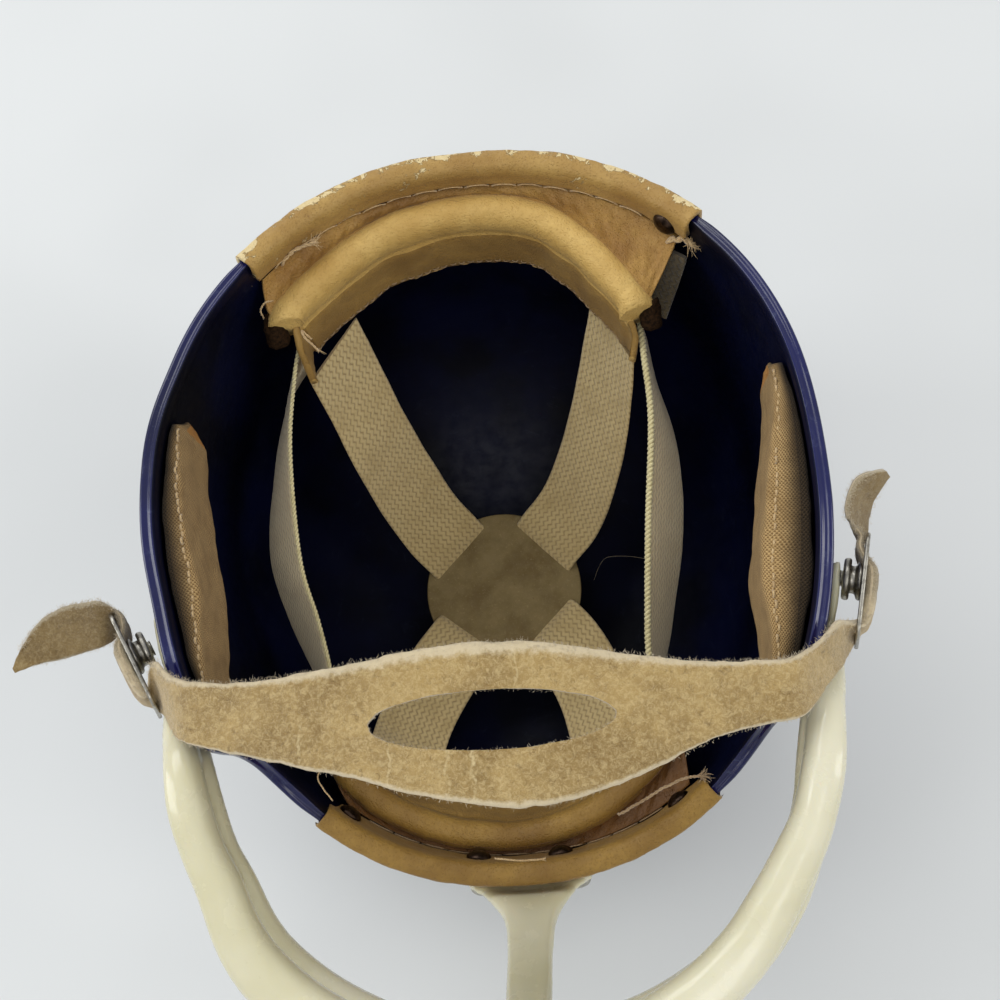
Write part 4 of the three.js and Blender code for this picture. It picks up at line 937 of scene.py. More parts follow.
def sweatband(name, node, rows, material, seed, ends, radius, felt_from, lean_in=0.0):
    """The roll stops in a blunt cut at both ends, and the apron below it runs on to a point."""
    fraction = np.linspace(0, 1, BAND_STEPS)
    row, point, inward = band_frame(rows, fraction)
    roll, apron = row["roll"][:, None], row["apron"][:, None]
    uncut = np.minimum(smoothstep(fraction, ends[0], ends[0] + 0.006),
                       1 - smoothstep(fraction, ends[1] - 0.006, ends[1]))[:, None]
    wave = ripple(fraction * 90, 4.0, seed)[:, None]
    ruffle = ripple(fraction * 90, 1.6, seed + 4)[:, None]
    apron = apron + wave * 1.6 * smoothstep(apron, 10, 22)

    def hang(down):
        return 1.1 * np.sin(down * math.pi * 0.9) * wave + 0.5 * ruffle * down**2

    end = 2 * math.pi - np.arccos(np.clip((roll - APRON) / roll, -1, 1))
    turn = end * np.linspace(0, 1, ROLL_COLUMNS)[None]
    to_cut = np.minimum(np.abs(fraction - ends[0]), np.abs(fraction - ends[1]))[:, None]
    bulge = np.maximum(roll, lerp(radius, CUT_ROLL, smoothstep(to_cut, 0, 0.1))) * (1 + 0.02 * ruffle)
    down = np.linspace(0.12, 1, DOWN_COLUMNS)[None]
    under = np.linspace(0.25, 0.75, UNDER_COLUMNS)[None]
    up = np.linspace(1, 0.05, UP_COLUMNS)[None]
    groove = -1.0 * np.exp(-((up * apron - 5.0) / 1.3) ** 2) * smoothstep(roll, 3, 5)
    inwards = np.concatenate([
        lerp(roll - APRON / 2 + APRON / 2 * np.cos(turn), bulge * np.cos(turn), uncut),
        roll - APRON + hang(down),
        roll - APRON + APRON * under + hang(down)[:, -1:],
        roll + hang(up) + groove,
    ], 1)
    upwards = np.concatenate([
        lerp(1.2 * np.sin(turn) - 1.5, bulge * np.sin(turn), uncut),
        -apron * down,
        -apron - 0.5 * np.sin(under * math.pi),
        -apron * up,
    ], 1)
    inwards = inwards + lean_in * np.clip(-upwards / 22, 0, 1)**1.5 * np.sin(math.pi * fraction)[:, None]
    points = point[:, None] + inward[:, None] * inwards[..., None]
    points[..., 2] += upwards
    piece = grid_object(name, points, material)
    step, column = np.divmod(np.arange((BAND_STEPS - 1) * points.shape[1]), points.shape[1])
    beyond = (fraction[step] < ends[0]) | (fraction[step] > ends[1])
    # The apron, and the roll beyond its cut ends, get the darker leather: painted shade.
    recolour(piece, beyond | (column >= SHADED_APRON_COLUMNS[0]) & (column < SHADED_APRON_COLUMNS[1]), LEATHER_APRON_SHADED)
    roughen(piece, (14, 0.35), (5, 0.14), (2.2, 0.07), seed=seed)
    keep(piece, node, slot="leather")
    # Felt filling that shows at each cut end.
    for side, cut in zip(("left", "right"), ends):
        outwards = -1 if cut < 0.5 else 1
        way = np.linspace(cut - outwards * 0.03, cut + outwards * felt_from, 14)
        _, centre, aside = band_frame(rows, way)
        centre = centre - aside * 4.4 - [0, 0, 0.6]
        thick = np.array([4.0] * 11 + [3.6, 2.8, 0.8])
        filling = grid_object(f"{name}_felt_{side}", tube_points(centre, thick, 24), FELT)
        roughen(filling, (3.0, 0.9), (1.2, 0.35), seed=seed + 8)
        keep(filling, slot="leather")
    # A stitched line above the apron's lower edge, and the raw edge itself.
    shown = (fraction > ends[0] + 0.02) & (fraction < ends[1] - 0.02)
    rising = ROLL_COLUMNS + DOWN_COLUMNS + UNDER_COLUMNS
    path = points[shown][:, rising + 1] + inward[shown] * 0.15
    paths = stitch_paths(path, 3.4, 2.6, inward[shown], 0.5, 0.08)
    keep(tubes(f"{name}_hem", paths, 0.2, THREAD_DULL, sides=5), slot="leather")
    raw = points[shown][:, rising - 2] + [0, 0, 0.3]
    raw = raw + inward[shown] * 0.5 * (1 + grain(raw, 1.8, seed)[:, None])
    keep(tubes(f"{name}_raw_edge", [raw], 0.55, LEATHER_RAW, sides=8), slot="leather")


def gusset(name, node, rows, turns, back, inset, part, radius, material, seed):
    """The leather web between the edge and that part of a sweatband."""
    fraction = np.linspace(0, 1, 220)
    row, point, inward = band_frame(rows, lerp(*part, fraction))
    reach = np.maximum(row["roll"], radius)[:, None] * 0.97
    far = point - inward * reach * 0.72 + np.array([0, 0, 1]) * reach * 0.68
    near = near_edge(lerp(*turns, fraction), back, -inset)
    share = np.linspace(0, 1, 22)[None, :, None]
    middle = near[:, None] + (far - near)[:, None] * share
    face = unit(np.cross(np.gradient(middle, axis=0), np.gradient(middle, axis=1)))
    face = np.where(face[..., 2:] < 0, -face, face)
    share = share[..., 0]
    sag = -2.2 * np.sin(math.pi * share) * (0.7 + 0.3 * grain(middle, 30, seed))
    folds = np.stack(np.broadcast_arrays(length_along(near)[:, None] / 3.2, share * 2.2, 0.0), -1)
    wrinkle = grain(folds, 1.0, seed + 3) * 0.75 * np.sin(math.pi * share) ** 0.5
    middle = middle + face * (sag + wrinkle)[..., None]
    top = middle + face * 0.55
    bottom = middle[:, ::-1] - face[:, ::-1] * 0.55
    keep(grid_object(name, np.concatenate([top, bottom], 1), material), node, slot="dark_leather")


# Flat strips.

def strip(name, near, far, thickness, material, columns=18, uv_share=False, edge_lift=0.12, cut=None,
          sharp=None):
    """A flat strip from both its edges. Its cloth map runs across and along it."""
    centre = (near + far) / 2
    face = unit(np.cross(np.gradient(centre, axis=0), far - near))
    share = 0.5 - 0.5 * np.cos(np.linspace(0, math.pi, columns))
    width = np.linalg.norm(far - near, axis=1)
    middle = near[:, None] + (far - near)[:, None] * share[None, :, None]
    rounded = np.sqrt(np.clip(1 - (2 * share - 1) ** 16, 0.02, 1))
    to_side = np.minimum(share, 1 - share)[None] * width[:, None]
    lip = 1 + edge_lift * np.exp(-((to_side - 1.2) / 0.8) ** 2)
    half = np.broadcast_to(thickness, len(near))[:, None] / 2 * rounded[None] * lip
    top = middle + face[:, None] * half[..., None]
    bottom = (middle - face[:, None] * half[..., None])[:, ::-1]
    across = np.concatenate([share, share[::-1], share[:1]])
    across = np.broadcast_to(across, (len(near), len(across)))
    if not uv_share:
        across = across * width[:, None]
    points = np.concatenate([top, bottom], 1)
    piece = grid_object(name, points, material, cloth_map(across, length_along(centre)), sharp=sharp)
    if cut is not None:
        column = np.arange((len(near) - 1) * 2 * columns) % (2 * columns)
        recolour(piece, np.isin(column, (0, columns - 2, columns - 1, 2 * columns - 1)), cut)
    return piece


STRAP_A = table(
    "x y z bearing width",
    (-56.8, 74.6, 120, 54, 31), (-52.1, 62.8, 105, 53, 31), (-46.5, 48.5, 89, 50, 31),
    (-39.8, 34.5, 68.5, 47, 31), (-31.4, 20.5, 52.5, 45, 31), (-23.6, 11.6, 44.6, 45, 31),
    (-20.2, 8.2, 40.5, 45, 31), (-16.5, 4.5, 37.4, 45, 31), (-3, -9, 36.9, 45, 31),
    (10.5, -22.5, 37.4, 45, 31), (14.2, -26.2, 40.5, 45, 31), (17.6, -29.6, 44.4, 44, 31),
    (24.5, -40, 48.5, 40, 31), (31, -56, 54, 34, 31), (34.5, -73, 63, 30, 31), (35.2, -82, 74, 33, 31),
)
STRAP_B = table(
    "x y z bearing width",
    (49.2, 72.6, 120, -65, 31), (46.8, 62.2, 107, -60, 31), (43.2, 49.3, 91.5, -55, 31),
    (37, 34, 72, -52, 31), (28.5, 20.5, 54, -48, 31), (18.3, 10.9, 44.6, -47, 31), (14.9, 7.7, 40.5, -47, 31),
    (11.5, 4.6, 35.2, -47, 31), (-3, -9, 34.7, -44, 31), (-15.6, -24, 35.2, -40, 31),
    (-18.7, -27.8, 40.5, -40, 31), (-21.6, -31.2, 44.4, -40, 31), (-30, -42, 48.5, -38, 31),
    (-38.5, -56, 54, -36, 31), (-43.5, -70, 63, -36, 31), (-44.5, -78, 74, -37, 31),
)
SIDE_LEFT = table(
    "near_x near_y near_z far_x far_y far_z",
    (-66.5, 73, 132.5, -69.5, 75, 106), (-69, 60, 132, -80, 58, 103), (-72.2, 33, 128, -87.5, 24, 98),
    (-72, -5, 118, -90, 0, 92), (-67.8, -27, 110, -85, -22, 85), (-65.3, -44, 104, -78.3, -40, 78),
    (-65.3, -58, 99, -71, -57, 70), (-61.2, -73, 94, -61.2, -72, 64),
)
SIDE_RIGHT = table(
    "near_x near_y near_z far_x far_y far_z",
    (58.2, 70, 132, 62.5, 71.5, 106), (58.4, 56, 131.5, 64.5, 56, 104), (58.8, 33, 127, 70.5, 30, 98),
    (54.8, -1.5, 118, 70, 0, 91), (52.2, -29, 110, 64.7, -26, 84), (51, -46, 105, 60, -45, 77),
    (52, -58, 100, 56, -58, 71), (51.5, -71, 95, 52, -71, 65),
)
NAPE_TAPE = table(
    "near_x near_y near_z far_x far_y far_z",
    (61, 91.5, 152, 74.5, 82, 152), (60, 86, 141, 72, 77, 139), (58, 80, 130, 68.5, 71.5, 127),
)


def edges_of(rows, steps):
    row = along(rows, np.linspace(0, 1, steps))
    return points_of(row, "near_x", "near_y", "near_z"), points_of(row, "far_x", "far_y", "far_z")


def edges_from_bearing(rows, steps):
    row = along(rows, np.linspace(0, 1, steps))
    bearing = np.radians(row["bearing"])
    half = np.stack([np.cos(bearing), np.sin(bearing), bearing * 0], -1) * row["width"][:, None] / 2
    middle = points_of(row, "x", "y", "z")
    return middle - half, middle + half


def selvage(name, path, radius, material):
    """The corded edge of a strap."""
    distance = length_along(path)
    even = np.linspace(0, distance[-1], int(distance[-1] / 0.45))
    plies = two_plies(points_at(path, distance, even), even * 2 * math.pi / 3.4, radius, 0.55)
    keep(tubes(name, plies, radius * 0.62, material, sides=6), slot="webbing")


def webbing(name, node, edges, material=WEBBING, seed=0):
    near, far = edges
    piece = strip(name, near, far, WEBBING_THICK, material, sharp=50)
    roughen(piece, (16, 0.3), (3, 0.06), seed=seed)
    return keep(piece, node, slot="webbing")


# The crown disc.

DISC = {
    "middle": np.array([-3, -9, 40.5]), "radius": 33.4, "thickness": 1.6,
    "slit_radius": 24.5, "slit_length": 34, "slit_width": 4.6,
}
SLIT_ANGLES = (135, 43, 230, 315)


def prism(outline, low, high):
    return np.stack([np.column_stack([outline, np.full(len(outline), z)]) for z in (low, high)])


def make_disc():
    half = DISC["thickness"] / 2
    radius = DISC["radius"]
    face = np.linspace(0.02, 0.97, 26)
    profile = [(radius * share, -half) for share in face]
    profile += [(radius - 0.3, -half + 0.1), (radius, -half * 0.4)]
    profile += [(radius, half * 0.4), (radius - 0.3, half - 0.1)]
    profile += [(radius * share, half) for share in np.linspace(0.97, 0.02, 26)]
    piece = grid_object("disc_plate", lathe_points(profile, 120) + DISC["middle"], FIBRE, flip=True)
    w, l = DISC["slit_width"] / 2, DISC["slit_length"] / 2
    outline = spline([
        (-w, -l + 1), (-w, 0), (-w, l - 1), (-w + 1, l), (w - 1, l), (w, l - 1), (w, 0), (w, -l + 1),
        (w - 1, -l), (-w + 1, -l),
    ], 60, closed=True)
    for angle in SLIT_ANGLES:
        turn = math.radians(angle)
        across = np.array([math.cos(turn), math.sin(turn), 0])
        length = np.array([-math.sin(turn), math.cos(turn), 0])
        centre = DISC["middle"] + across * DISC["slit_radius"]
        section = centre + outline[:, :1] * across + outline[:, 1:] * length
        subtract(piece, np.stack([section + [0, 0, -4], section + [0, 0, 4]]), FIBRE)
    shade(piece.data, 40)
    keep(piece, "crown_disc", slot="fibre")


# The jaw pads.

PAD_SEAT = 0.55
PAD_LEFT = table(
    "turn standoff thick top bottom",
    (-104.4, 0.3, 3.2, 6, 34), (-98, 0.3, 4.8, 7, 42), (-90, 0.3, 7.2, 7, 45), (-82, 0.3, 8.4, 7, 45),
    (-75, 0.3, 6.4, 8, 44), (-67, 0.3, 3, 9, 40), (-62, 0.3, 2.2, 11, 34),
)
PAD_RIGHT = table(
    "turn standoff thick top bottom",
    (106, 0.3, 3.4, 8, 38), (98, 0.3, 6.4, 8, 48), (90, 0.3, 11.6, 8, 52), (82, 0.3, 14.6, 8, 52),
    (75, 0.3, 14.6, 8, 50), (68, 0.3, 10, 9, 46), (62, 0.3, 4.5, 11, 38),
)
PAD_OUTLINE = [
    (0, 0.25), (0, 0.75), (0.05, 1), (0.35, 1), (0.65, 1), (0.93, 0.95), (1, 0.7), (1, 0.3), (0.93, 0.05),
    (0.6, 0), (0.3, 0), (0.05, 0),
]
SEAM_THROUGH = 0.78


def pad_point(row, down, through):
    back = lerp(row["top"][:, None], row["bottom"][:, None], down)
    standoff = lerp(row["standoff"][:, None], PAD_SEAT, np.minimum(down * 1.3, 1))
    out = -WALL - PAD_SEAT - standoff - row["thick"][:, None] * through
    return near_edge(row["turn"][:, None], np.maximum(back, BEAD_REACH + 0.1), out)


def jaw_pad(name, node, rows, flip, seed):
    steps, around = 90, 96
    fraction = np.linspace(0, 1, steps)
    row = along(rows, fraction)
    outline = spline(PAD_OUTLINE, around, closed=True)
    points = pad_point(row, outline[None, :, 0], outline[None, :, 1])
    # The two ends are gathered to a seam.
    closing = np.minimum(smoothstep(fraction, 0, 0.05), smoothstep(1 - fraction, 0, 0.05))
    centre = points.mean(1, keepdims=True)
    points = centre + (points - centre) * (0.35 + 0.65 * closing)[:, None, None]
    uv = cloth_map(length_along(points[steps // 2], closed=True), length_along(points[:, 8]))
    piece = grid_object(name, points, CANVAS, uv, flip=flip)
    # Leather covers the two ends, and the canvas is painted darker where it faces the rim: painted shade.
    step, column = np.divmod(np.arange((steps - 1) * around), around)
    ends = (step > steps * 0.93) | (step < steps * 0.04)
    recolour(piece, ends & (column >= around * 0.2) & (column < around * 0.5), LEATHER_TAB)
    recolour(piece, column >= around * 0.8, CANVAS_SHADED)
    roughen(piece, (12, 0.7), (4.5, 0.25), seed=seed)
    keep(piece, node, slot="canvas")
    seam = pad_point(row, np.array([[0.01]]), np.array([[SEAM_THROUGH]]))[5:-5, 0]
    lift = np.tile([0, 0, 1.0], (len(seam), 1))
    paths = stitch_paths(seam + lift * 0.25, 2.6, 2.0, lift, 0.5, 0.25)
    keep(tubes(name + "_seam", paths, 0.4, THREAD), slot="canvas")


# The face mask.

ARM_OUT = 0.7
ARM_THICK = 3.2


def bar_table():
    rows = []
    for angle in (77.3, 72, 66.5):
        run = run_at_height(160)
        level = unit(wall_normal(angle, run) * [1, 1, 0])
        x, y, _ = wall_point(angle, run) + level * (ARM_OUT + ARM_THICK / 2)
        rows.append((x, y, ARM_THICK, 163, 12, 156, 12, 0))
    rows += [
        (100.2, -58, 7.6, 160, 11, 155, 11, 0), (97.6, -66, 8.6, 167, 12, 159.5, 12, 0),
        (94.0, -74, 9.8, 173.5, 12.5, 163.5, 12.5, 0), (90.4, -88, 11.5, 176.5, 13, 165, 13, 0.3),
        (85.9, -101, 11.5, 176.5, 13, 165, 13, 1), (80.7, -111, 12.5, 176.5, 13, 164, 13, 1.6),
        (73.8, -123.5, 13.5, 176.5, 13, 161.5, 13, 2.6), (65.5, -134.5, 14.5, 176.5, 13, 158.5, 13, 2.6),
        (53, -144.8, 15, 176.5, 13, 156, 13, 2.6), (37, -153.6, 15.5, 176.5, 13, 153, 13, 2.6),
        (19, -159, 16, 176.5, 13, 151, 13, 2.6),
    ]
    front = (0, -160.8, 16, 176.5, 13, 150, 13, 2.6)
    mirrored = [(-row[0], *row[1:]) for row in reversed(rows)]
    return table("x y width near_z near_tall far_z far_tall apart", *rows, front, *mirrored)


BARS = bar_table()
PUSHED = {"by": -2.5, "from": 105, "to": 130}


def bar_points(middle, tall, share, steps=200, sides=32):
    fraction = np.linspace(0, 1, steps)
    row = along(BARS, fraction)
    across = np.cross(unit(heading(BARS, fraction, 0.004, "xy")), [0, 0, 1])
    turn = circle(sides)
    fit_x, fit_y = signed_power(np.cos(turn), 0.72), signed_power(np.sin(turn), 0.72)
    pushed = PUSHED["by"] * smoothstep(-row["y"], PUSHED["from"], PUSHED["to"])
    centre = np.stack([row["x"] + pushed + share * row["apart"], row["y"], row[middle]], -1)
    aside = fit_x[None] * row["width"][:, None] / 2 - (share * row["apart"])[:, None]
    points = centre[:, None] + across[:, None] * aside[..., None]
    points[..., 2] += fit_y[None] * row[tall][:, None] / 2
    return points


POST = table(
    "x y z width thick bend",
    (0.5, -160.5, 181, 14, 9, 0), (0.5, -160.5, 165, 14, 9, 0), (0.8, -158.5, 149, 14, 9, 0),
    (1.2, -151, 134, 14.5, 8.5, 0), (1.8, -141, 121.5, 15, 8, 0.2), (2.2, -133, 112.5, 18, 7, 0.6),
    (2, -128.6, 105, 27, 5.4, 1), (1.6, -126.8, 98, 35, 4, 1),
)
FLANGE = {"angle": 0.8, "spread": 10.5, "narrowing": 0.2, "top": 98, "bottom": 74, "inner": 2.3, "outer": 5.6}
BEND_RADIUS = 88


def post_points(steps=90, sides=40):
    fraction = np.linspace(0, 1, steps)
    row = along(POST, fraction)
    through = np.cross(unit(heading(POST, fraction, 0.02, "yz")), [1, 0, 0])
    turn = circle(sides)
    aside = signed_power(np.cos(turn), 0.6)[None] * row["width"][:, None] / 2
    points = np.stack([
        row["x"][:, None] + aside,
        row["y"][:, None] + row["bend"][:, None] * aside**2 / (2 * BEND_RADIUS),
        np.broadcast_to(row["z"][:, None], aside.shape),
    ], -1)
    depth = signed_power(np.sin(turn), 0.6)[None] * row["thick"][:, None] / 2
    return points + through[:, None] * depth[..., None]


def flange_points(steps=40):
    outline = spline([
        (0.12, 0), (0.5, 0), (0.88, 0), (1, 0.3), (1, 1), (0.88, 1), (0.5, 1), (0.12, 1), (0, 1), (0, 0.3),
    ], 40, closed=True)
    aside = np.linspace(-1, 1, steps)[:, None]
    narrowing = 1 - FLANGE["narrowing"] * smoothstep(outline[None, :, 0], 0.25, 1)
    angle = FLANGE["angle"] + FLANGE["spread"] * aside * narrowing
    bottom = FLANGE["bottom"] + 9 * aside**4
    run = height_to_run(lerp(bottom, FLANGE["top"], outline[None, :, 0]))
    depth = lerp(FLANGE["inner"], FLANGE["outer"], outline[None, :, 1])
    return wall_point(angle, run) + wall_normal(angle, run) * depth[..., None]


def make_mask():
    parts = [
        grid_object("near_bar", bar_points("near_z", "near_tall", 0), MASK),
        grid_object("far_bar", bar_points("far_z", "far_tall", 1), MASK),
        grid_object("post", post_points(), MASK),
        grid_object("flange", flange_points(), MASK),
    ]
    piece = join("mask_moulding", *parts)
    remesh = piece.modifiers.new("one", "REMESH")
    remesh.mode = "VOXEL"
    remesh.voxel_size = 0.0013
    smooth = piece.modifiers.new("even", "SMOOTH")
    smooth.factor = 0.5
    smooth.iterations = 7
    apply_modifiers(piece)
    if not piece.data.materials:
        piece.data.materials.append(MASK)
    piece.data.shade_smooth()
    keep(piece, "face_mask", slot="mask_plastic")


# Slides, snaps and the chin strap.

SLIDE = {"long": 32.5, "tall": 24, "thick": 1.2, "slot_tall": 19, "slot_from": (-13.6, 5.5), "slot_wide": 5.5,
         "snap_at": 3.25}
SLIDES = {
    "left": {"centre": (-111.9, -45.4, 165.2), "ahead": (-0.452, 0.892, 0), "lean": (0.275, 0.141, 0.951)},
    "right": {"centre": (111.6, -39.9, 165), "ahead": (0.257, 0.967, 0), "lean": (-0.228, 0.06, 0.972)},
}


def slide_frame(side):
    """The slide's own axes as rows, its centre, and 1 where its z points away from the shell."""
    own = SLIDES[side]
    x = unit(np.array(own["ahead"], float))
    lean = np.array(own["lean"], float)
    y = unit(lean - x * np.dot(lean, x))
    z = np.cross(x, y)
    centre = np.array(own["centre"], float)
    return np.stack([x, y, z]), centre, np.sign(z[0] * centre[0])


SOCKET = [
    (0.05, 0.5), (5.6, 0.5), (5.7, 1.7), (4.4, 2.3), (4.2, 3.5), (4.6, 3.9), (5.8, 3.8), (6.4, 4.4),
    (6.3, 5.5), (5.6, 6), (4.7, 5.7), (4.4, 5.2), (3.4, 4.8), (0.05, 4.7),
]
PIN = [(0.05, 4.9), (2.8, 4.95), (3.8, 5.2), (3.8, 5.6), (2.6, 6), (2.4, 6.5), (2.4, 6.9), (0.05, 6.9)]


def make_slide(side):
    axes, centre, flip = slide_frame(side)

    def placed(points):
        return np.asarray(points) @ axes + centre

    corner = 4
    size = np.array([SLIDE["long"] / 2, SLIDE["tall"] / 2])
    outline = []
    for quarter, signs in enumerate(((1, 1), (-1, 1), (-1, -1), (1, -1))):
        for turn in np.linspace(0, math.pi / 2, 9) + quarter * math.pi / 2:
            outline.append(signs * (size - corner) + corner * np.array([math.cos(turn), math.sin(turn)]))
    half = SLIDE["thick"] / 2
    layers = []
    # The plate's edges are rounded: inset and height of each layer.
    for inset, height in ((0.35, -1), (0.08, -0.7), (0, -0.3), (0, 0.3), (0.08, 0.7), (0.35, 1)):
        flat = outline * (1 - inset / size)
        layers.append(np.column_stack([flat, np.full(len(flat), half * height)]))
    plate = grid_object(f"slide_plate_{side}", placed(np.array(layers)), NICKEL, flip=True, sharp=40)
    wide, tall = SLIDE["slot_wide"], SLIDE["slot_tall"] / 2
    for start in SLIDE["slot_from"]:
        box = [(start, -tall), (start + wide, -tall), (start + wide, tall), (start, tall)]
        subtract(plate, placed(prism(box, -4.0, 4.0)), NICKEL)
    shade(plate.data, 40)
    keep(plate, f"slide_{side}", slot="nickel")
    snaps = ((f"snap_socket_{side}", SOCKET, ()), (f"snap_pin_{side}", PIN, (f"snap_stud_{side}",)))
    for name, profile, nodes in snaps:
        points = lathe_points(spline(profile, 48), 48)
        if flip > 0:
            points = points * [1, -1, -1]
        keep(grid_object(name, placed(points + [SLIDE["snap_at"], 0, 0]), NICKEL), *nodes, slot="nickel")


STRAP_THICK = 2
THREADED_HALF = 9.2
THREADED_THICK = 3.7
THREADING = table(
    "ahead out",
    (-11.2, 0), (-8.6, 1.7), (-3.5, 2.3), (2.5, 2.3), (5.9, 1.7), (8.25, 0), (11.9, -2.0), (15.5, -2.2),
)


def thread_rows(side):
    axes, centre, flip = slide_frame(side)
    ahead, out = THREADING["ahead"], flip * THREADING["out"]
    edges = [np.column_stack([ahead, np.full(len(ahead), y), out]) for y in (THREADED_HALF, -THREADED_HALF)]
    return np.hstack([points @ axes + centre for points in edges])


TAIL_LEFT = [
    (-146.8, -43.6, 173.2, -146.2, -45.2, 172.6), (-143.5, -36.2, 174, -140, -43.2, 171.2),
    (-136, -28.8, 175, -133.5, -41.6, 169.5), (-127, -26.3, 176, -126, -39.8, 168.5),
    (-118.5, -26.2, 176.5, -119.8, -37.6, 167),
]
TAIL_RIGHT = [
    (107.0, -19.5, 177.5, 114.8, -24.0, 165), (107.6, -13.9, 178.5, 115.8, -17.5, 169),
    (110.6, -9.2, 179, 117.6, -13.0, 172), (115, -6.8, 179, 119.8, -9.6, 174.5),
    (119.8, -6.0, 178, 121.6, -7.4, 175.5),
]
CUP = [
    (-100, -46.2, 181, -101, -61.7, 165.5), (-94.5, -50.2, 184.5, -94.5, -66.5, 177.5),
    (-87.4, -53.4, 188, -88.3, -70.5, 187), (-74, -55, 190, -76, -73.6, 189),
    (-58, -54.8, 192.5, -58, -78.5, 191), (-40, -53.2, 195, -40, -83, 193),
    (-20, -50.8, 197, -20, -89.3, 195), (0, -50.2, 197.6, 0, -93.2, 195.6), (17, -51.6, 197, 17, -93.2, 195),
    (38, -55.8, 195, 38, -87.8, 193), (58, -59.2, 192.5, 60, -79.8, 191), (75, -60, 190, 74, -77, 189),
    (84, -59.2, 188.5, 84.5, -75, 187.5), (92.5, -54.8, 185, 97.6, -63.5, 175.5),
    (99, -50, 180.5, 104, -57.8, 165.5),
]
STEPS_A_ROW = 12
HOLE = {"x": -0.2, "y": -70.8, "half_length": 33.8, "half_width": 7.9, "skew": -1.2}


def fuzz(name, roots, directions, count, length, material, seed):
    """Short loose fibres that stand out of a cut edge."""
    chance = np.random.default_rng(seed)
    paths, radii = [], []
    for _ in range(count):
        i = chance.integers(0, len(roots))
        lean = unit(directions[i] + chance.normal(0, 0.55, 3))
        curl = chance.normal(0, 0.5, 3)
        reach = length * chance.uniform(0.3, 1.0)
        t = np.linspace(0, 1, 4)[:, None]
        start = roots[i] + chance.normal(0, 0.3, 3) - directions[i] * 0.15
        paths.append(start + lean * reach * t + curl * reach * 0.5 * t**2)
        radii.append(np.array([0.055, 0.045, 0.035, 0.015]) * chance.uniform(0.7, 1.3))
    return tubes(name, paths, radii, material, sides=3)


def hole_outline(count):
    turn = np.linspace(0, 2 * math.pi, count, endpoint=False)
    skew = math.radians(HOLE["skew"])
    x, y = HOLE["half_length"] * np.cos(turn), HOLE["half_width"] * np.sin(turn)
    wobble = 1 + 0.012 * np.array([noise.noise((math.cos(t) * 6, math.sin(t) * 6, 2)) for t in turn])
    return np.column_stack([
        HOLE["x"] + (x * math.cos(skew) - y * math.sin(skew)) * wobble,
        HOLE["y"] + (x * math.sin(skew) + y * math.cos(skew)) * wobble,
    ])


def make_chin_strap():
    rows = np.vstack([TAIL_LEFT, thread_rows("left")[::-1], CUP, thread_rows("right"), TAIL_RIGHT])
    strap = dict(zip("near_x near_y near_z far_x far_y far_z".split(), rows.T))
    near, far = edges_of(strap, STEPS_A_ROW * (len(rows) - 1) + 1)
    across = unit(far - near)
    ragged = grain(near, 2.4, 3)[:, None] * 0.3 + grain(near, 7, 5)[:, None] * 0.35
    ragged_far = grain(far, 2.4, 7)[:, None] * 0.2 + grain(far, 7, 9)[:, None] * 0.35
    near, far = near + across * ragged, far + across * ragged_far
    station = np.linspace(0, len(rows) - 1, len(near))
    # The strap is thicker where it passes over the middle of each slide.
    left_loop = len(TAIL_LEFT) + 5
    right_loop = len(TAIL_LEFT) + len(THREADING["out"]) + len(CUP) + 2
    to_loop = np.minimum(np.abs(station - left_loop), np.abs(station - right_loop))
    thick = lerp(THREADED_THICK, STRAP_THICK, smoothstep(to_loop, 1.2, 3.0))
    piece = strip("strap_leather", near, far, thick, SUEDE, 44, uv_share=True, edge_lift=0.0, cut=SUEDE_CUT)
    oval = hole_outline(160)
    subtract(piece, prism(oval, 180.0, 212.0), SUEDE_CUT)
    roughen(piece, (18, 0.5), (6, 0.25), (1.5, 0.12), seed=11)
    shade(piece.data, 60)
    keep(piece, "chin_strap", slot="suede")

    # Fuzz along the cut edges, between the two ends, and round the hole.
    used = slice(int(len(near) * 0.02), int(len(near) * 0.98))
    face = unit(np.cross(np.gradient((near + far) / 2, axis=0), far - near))[used]
    near, far, across = near[used], far[used], across[used]
    layers = (-0.8, 0.0, 0.8)

    def edge_fuzz(place, edge_roots, directions, count, length, seed):
        keep(fuzz("strap_fuzz_" + place, edge_roots, directions, count, length, FUZZ, seed), slot="suede")

    edge_fuzz("near", np.vstack([near + face * h for h in layers]), np.tile(-across, (3, 1)), 3600, 1.1, 21)
    upward = np.where(face[:, 2:] < 0, -face, face)
    inset = np.random.default_rng(24).uniform(0, 1.6, (len(near), 1))
    edge_fuzz("top", near + across * inset + upward, unit(upward * 0.7 - across * 0.7), 3200, 0.9, 25)
    edge_fuzz("far", np.vstack([far + face * h for h in layers]), np.tile(across, (3, 1)), 2400, 0.8, 22)
    oval_z = np.interp(oval[:, 0], (near[:, 0] + far[:, 0]) / 2, (near[:, 2] + far[:, 2]) / 2 + 0.6)
    inward = unit(np.array([HOLE["x"], HOLE["y"]]) - oval)
    inward = np.column_stack([inward, np.full(len(inward), 0.2)])
    edge_fuzz("hole", np.column_stack([oval, oval_z]), inward, 700, 0.8, 23)


# Rivets and screws.

ON_LEATHER = -WALL - SEAT_INSIDE - LEATHER - 0.5
BROW_RIVETS = {"turns": (-34, -7.4, 6.2, 31.3), "back": 8.5}
NAPE_RIVET = {"turn": 139, "back": 6.5}
SCREWS = {"aside": 7.5, "height": 86}


